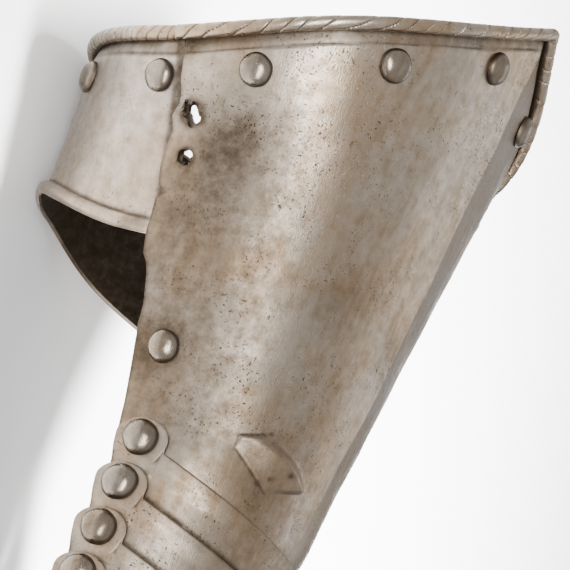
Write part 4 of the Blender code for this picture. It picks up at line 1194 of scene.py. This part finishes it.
def shadow_under_next(belt, run, level):
    """Painted shadow along the line where the next plate's edge lies over this one."""
    apart = run - belt.length - np.tan(EDGE_LEAN - belt.lean) * np.maximum(level, 0) * belt.last.rise
    return LAP_SHADOW * ridge(apart + LAP_BEFORE, LAP_WIDTH) * (level > LAP_LOWEST)


for index in range(LAME_COUNT):
    own, after = domes[index].grown(STEP_UP), domes[index + 1]
    reach = after.x - own.x
    stops = [(0.0, own.half), ((EAR_RADIUS + SLIDE_GAP) / reach, own.half),
             ((LAME_PITCH - LOBE_BACK - SLIDE_GAP) / reach, after.half), (1.0, after.half)]
    belt = Belt(own, after, stops)
    levels = crest_levels(belt, NICK_SIDE)
    hidden_edge = eared_edge(belt, levels, np.degrees(EDGE_LEAN + LAP_LEAN), EAR_RADIUS, 175, True)
    sliding_plate(f"lame_{index + 1}", belt, lobed_edge(belt, levels), hidden_edge,
                  f"hand_{index + 1}", index, shade=shadow_under_next)

# %% [markdown]
# ## Knuckles, fingers and the finger end
# The photograph stops at the lames. The rest is finished plainly, as a mitten: one plate over the
# knuckles, two over the bent fingers, and an end plate whose level edge rests on the floor.

# %% Knuckle plate, finger lames and finger end
belt = Belt(wrist_end.grown(STEP_UP), knuckle.grown(STEP_UP))
levels = crest_levels(belt, NICK_SIDE)
sliding_plate("knuckle_plate", belt, lobed_edge(belt, levels),
              eared_edge(belt, levels, KNUCKLE_EDGE, LOBE_SIDE, 200, True), "knuckles", 5)


def finger_plate(number, first, last, edge_before, open_edge):
    """A finger lame, from its hidden edge under the plate before it to its open one."""
    belt = Belt(first, last)
    levels = crest_levels(belt, LOBE_SIDE)
    facing = np.degrees(np.arctan2(first.z - last.z, last.x - first.x))
    back_edge = eared_edge(belt, levels, edge_before - FINGER_LAP, EAR_RADIUS, facing + 185 - 360, False)
    front_edge = eared_edge(belt, levels, open_edge, LOBE_SIDE, facing + 175, True)
    sliding_plate(f"finger_lame_{number}", belt, back_edge, front_edge, f"fingers_{number}", 5 + number,
                  open_back=False)


finger_plate(1, knuckle, middle_line.grown(STEP_UP), KNUCKLE_EDGE, MIDDLE_EDGE)
finger_plate(2, middle_line, end_line.grown(STEP_UP), MIDDLE_EDGE, END_EDGE)

belt = Belt(end_line, tip)
levels = crest_levels(belt, LOBE_SIDE)
back_edge = eared_edge(belt, levels, END_EDGE - FINGER_LAP, EAR_RADIUS, 262 - 360, False)
floor_levels = np.concatenate([levels, np.linspace(levels[-1], -LOBE_SIDE / TIP_RISE, LOBE_ROWS)])
floor_run = np.full(len(floor_levels), belt.length)
for _ in range(EDGE_TRIES):
    _, over, _, height = belt.parts(floor_run, floor_levels)
    wanted = (tip.z + height * np.cos(belt.lean)) / np.sin(belt.lean)
    floor_run = belt.length + 0.5 * (over + wanted)
floor_edge = np.stack([floor_run, floor_levels])
sliding_plate("finger_tip", belt, back_edge, floor_edge, "fingertips", 8, open_back=False)

# %% Rivets of the sliding plates
PIVOT_BODIES = ("hand_1", "hand_2", "hand_3", "hand_4", "knuckles", "knuckles", "fingers_1", "fingers_2")
PIVOT_GRIP = LAME_THICK + SLIDE_GAP + CUFF_THICK + BUTTON_GAP
for index, (dome, body) in enumerate(zip(domes, PIVOT_BODIES)):
    for name, side in (("near", -1.0), ("far", 1.0)):
        seat = np.array([dome.x, side * (dome.half + STEP_UP + LAME_THICK / 2 + SEAT_GAP), dome.z])
        rivet_piece(f"pivot_{index + 1}_{name}", seat, np.array([0.0, side, 0.0]), PIVOT_HEAD, PIVOT_DOME,
                    PIVOT_GRIP, body, 20 + 3 * index + side)

# %% [markdown]
# ## The thumb plate
# It is hidden in the photograph and finished plainly: an ear hangs on the far side rivet of the
# wrist, and from it a guard springs out past the lames, hollow across, down to a rounded end.

# %% Thumb plate and its rivet
THUMB_THICK, THUMB_EAR, THUMB_REACH = 1.2 * MM, 7.5 * MM, 90 * MM
THUMB_LIFT, THUMB_LIFT_FROM, THUMB_LIFT_RUN, THUMB_FALL = 29 * MM, 6 * MM, 40 * MM, 38 * MM
THUMB_HALF, THUMB_HOLLOW, THUMB_ROUND = 16.5 * MM, 9.5 * MM, 13 * MM
THUMB_WIDENS, THUMB_HOLLOWS, THUMB_ROUNDNESS = (0.1, 0.45), (0.12, 0.4), 0.93
THUMB_NARROWS_FROM, THUMB_NARROWER = 0.55, 0.22
THUMB_FALLS_FROM, THUMB_FALL_POWER = 0.08, 1.15
THUMB_ROWS, THUMB_EAR_COLUMNS, THUMB_COLUMNS = 61, 14, 70
thumb_seat, thumb_normal = outer_face(SIDE_ROW, SIDE_RIVET_BACK)
thumb_up = one_long(np.cross(thumb_normal, (1.0, 0.0, 0.0)))
thumb_up = thumb_up * np.sign(thumb_up[2])
thumb_ahead = np.cross(thumb_up, thumb_normal)
thumb_ahead = thumb_ahead * np.sign(thumb_ahead[0])
ear_share = np.linspace(-0.985, 0, THUMB_EAR_COLUMNS)
guard_share = np.linspace(0, 1, THUMB_COLUMNS)[1:] ** 0.9
forward = np.concatenate([ear_share * THUMB_EAR, guard_share * THUMB_REACH])[None, :]
thumb_share = np.maximum(forward, 0) / THUMB_REACH
across = np.linspace(-1, 1, THUMB_ROWS)[:, None]
to_tip = (THUMB_REACH - forward) / THUMB_ROUND
taper = np.sqrt(1 - np.maximum(0.0, 1 - to_tip) ** 2 * THUMB_ROUNDNESS)
narrowed = np.maximum(0.0, thumb_share - THUMB_NARROWS_FROM) / (1 - THUMB_NARROWS_FROM)
half = THUMB_EAR + (THUMB_HALF - THUMB_EAR) * ramp(thumb_share, *THUMB_WIDENS)
half = half * taper * (1 - THUMB_NARROWER * narrowed)
half = np.where(forward < 0, np.sqrt(np.maximum(0, THUMB_EAR ** 2 - forward ** 2)), half)
lift = THUMB_LIFT * ramp(forward, THUMB_LIFT_FROM, THUMB_LIFT_RUN)
hollow = THUMB_HOLLOW * ramp(thumb_share, *THUMB_HOLLOWS)
fall = THUMB_FALL * np.maximum(0.0, thumb_share - THUMB_FALLS_FROM) ** THUMB_FALL_POWER
out_from = lift - hollow * across ** 2
up_from = across * half - fall
thumb_base = thumb_seat + thumb_normal * (SLIDE_GAP + THUMB_THICK / 2 - SEAT_GAP)
thumb_grid = thumb_base + forward[..., None] * thumb_ahead
thumb_grid = thumb_grid + out_from[..., None] * thumb_normal + up_from[..., None] * thumb_up
side_away = (1 - np.abs(across)) * half
thumb_half = THUMB_THICK / 2 * np.minimum(edge_soft(side_away), edge_soft(THUMB_REACH - forward))
if (normals_of(thumb_grid)[THUMB_ROWS // 2] @ thumb_normal).mean() < 0:
    thumb_grid, thumb_half = thumb_grid[::-1], thumb_half[::-1]
plate_piece("thumb_plate_steel", thumb_grid, thumb_half, thumb_half, "thumb", "thumb_plate",
            0.4 * ridge(side_away, 0.8 * MM))
rivet_piece("thumb_rivet", thumb_seat + thumb_normal * (SLIDE_GAP + THUMB_THICK), thumb_normal, SIDE_HEAD,
            LINING_DOME, THUMB_THICK + SLIDE_GAP + CUFF_THICK + BUTTON_GAP, "thumb", 44)

# %% [markdown]
# ## The floor, the lights and the room
# The object lies on a plain pale floor under soft studio light. Polished steel shows its room: a
# wide low light stands on the near side, a smaller one behind and above, and a third lights only
# the floor behind the object. The room is bright, and its far side falls off to a grey.

# %% Floor, lights and world
FLOOR_SIZE = 6.0
floor_data = bpy.data.meshes.new("floor")
corner = FLOOR_SIZE / 2
floor_corners = [(-corner, -corner, 0), (corner, -corner, 0), (corner, corner, 0), (-corner, corner, 0)]
floor_data.from_pydata(floor_corners, [], [(0, 1, 2, 3)])
floor = bpy.data.objects.new("floor", floor_data)
bpy.context.scene.collection.objects.link(floor)
floor_paint = bpy.data.materials.new("floor_paint")
floor_paint.use_nodes = True
floor_shader = floor_paint.node_tree.nodes["Principled BSDF"]
FLOOR_LOOK = {"Base Color": (0.93, 0.93, 0.93, 1.0), "Roughness": 0.9, "Specular IOR Level": 0.1}
for socket, value in FLOOR_LOOK.items():
    floor_shader.inputs[socket].default_value = value
floor_data.materials.append(floor_paint)


def soft_light(name, place, aim, size, watts, spread, in_reflections=True):
    """A rectangular area light at a place, turned to face its aim, its spread in degrees."""
    data = bpy.data.lights.new(name, "AREA")
    data.shape = "RECTANGLE"
    data.size, data.size_y = size
    data.energy = watts
    data.spread = np.radians(spread)
    back = one_long(np.subtract(place, aim))
    side = one_long(np.cross((0.0, 0.0, 1.0), back))
    lamp = set_up(name, data, side, np.cross(back, side), back, place)
    lamp.visible_glossy = in_reflections


soft_light("key_light", (0.3, -1.1, 0.46), (0, 0, 0.08), (1.2, 0.36), 5, 70)
soft_light("back_light", (-0.24, 0.86, 0.80), (0, 0, 0.08), (0.8, 0.5), 1.9, 180)
soft_light("floor_light", (-0.1, -0.25, 1.2), (0.0, 0.42, 0), (0.35, 0.35), 23, 52, in_reflections=False)

world = bpy.data.worlds.new("room")
world.use_nodes = True
nodes, links = world.node_tree.nodes, world.node_tree.links
looking = nodes.new("ShaderNodeTexCoord")
to_far_side = nodes.new("ShaderNodeSeparateXYZ")
falling = nodes.new("ShaderNodeMapRange")
ROOM = {"From Min": 0.5, "From Max": 1.0, "To Min": 1.1, "To Max": 0.4}
for socket, value in ROOM.items():
    falling.inputs[socket].default_value = value
links.new(looking.outputs["Generated"], to_far_side.inputs["Vector"])
links.new(to_far_side.outputs["Y"], falling.inputs["Value"])
links.new(falling.outputs["Result"], nodes["Background"].inputs["Strength"])
nodes["Background"].inputs["Color"].default_value = (1.0, 1.0, 1.0, 1.0)
bpy.context.scene.world = world
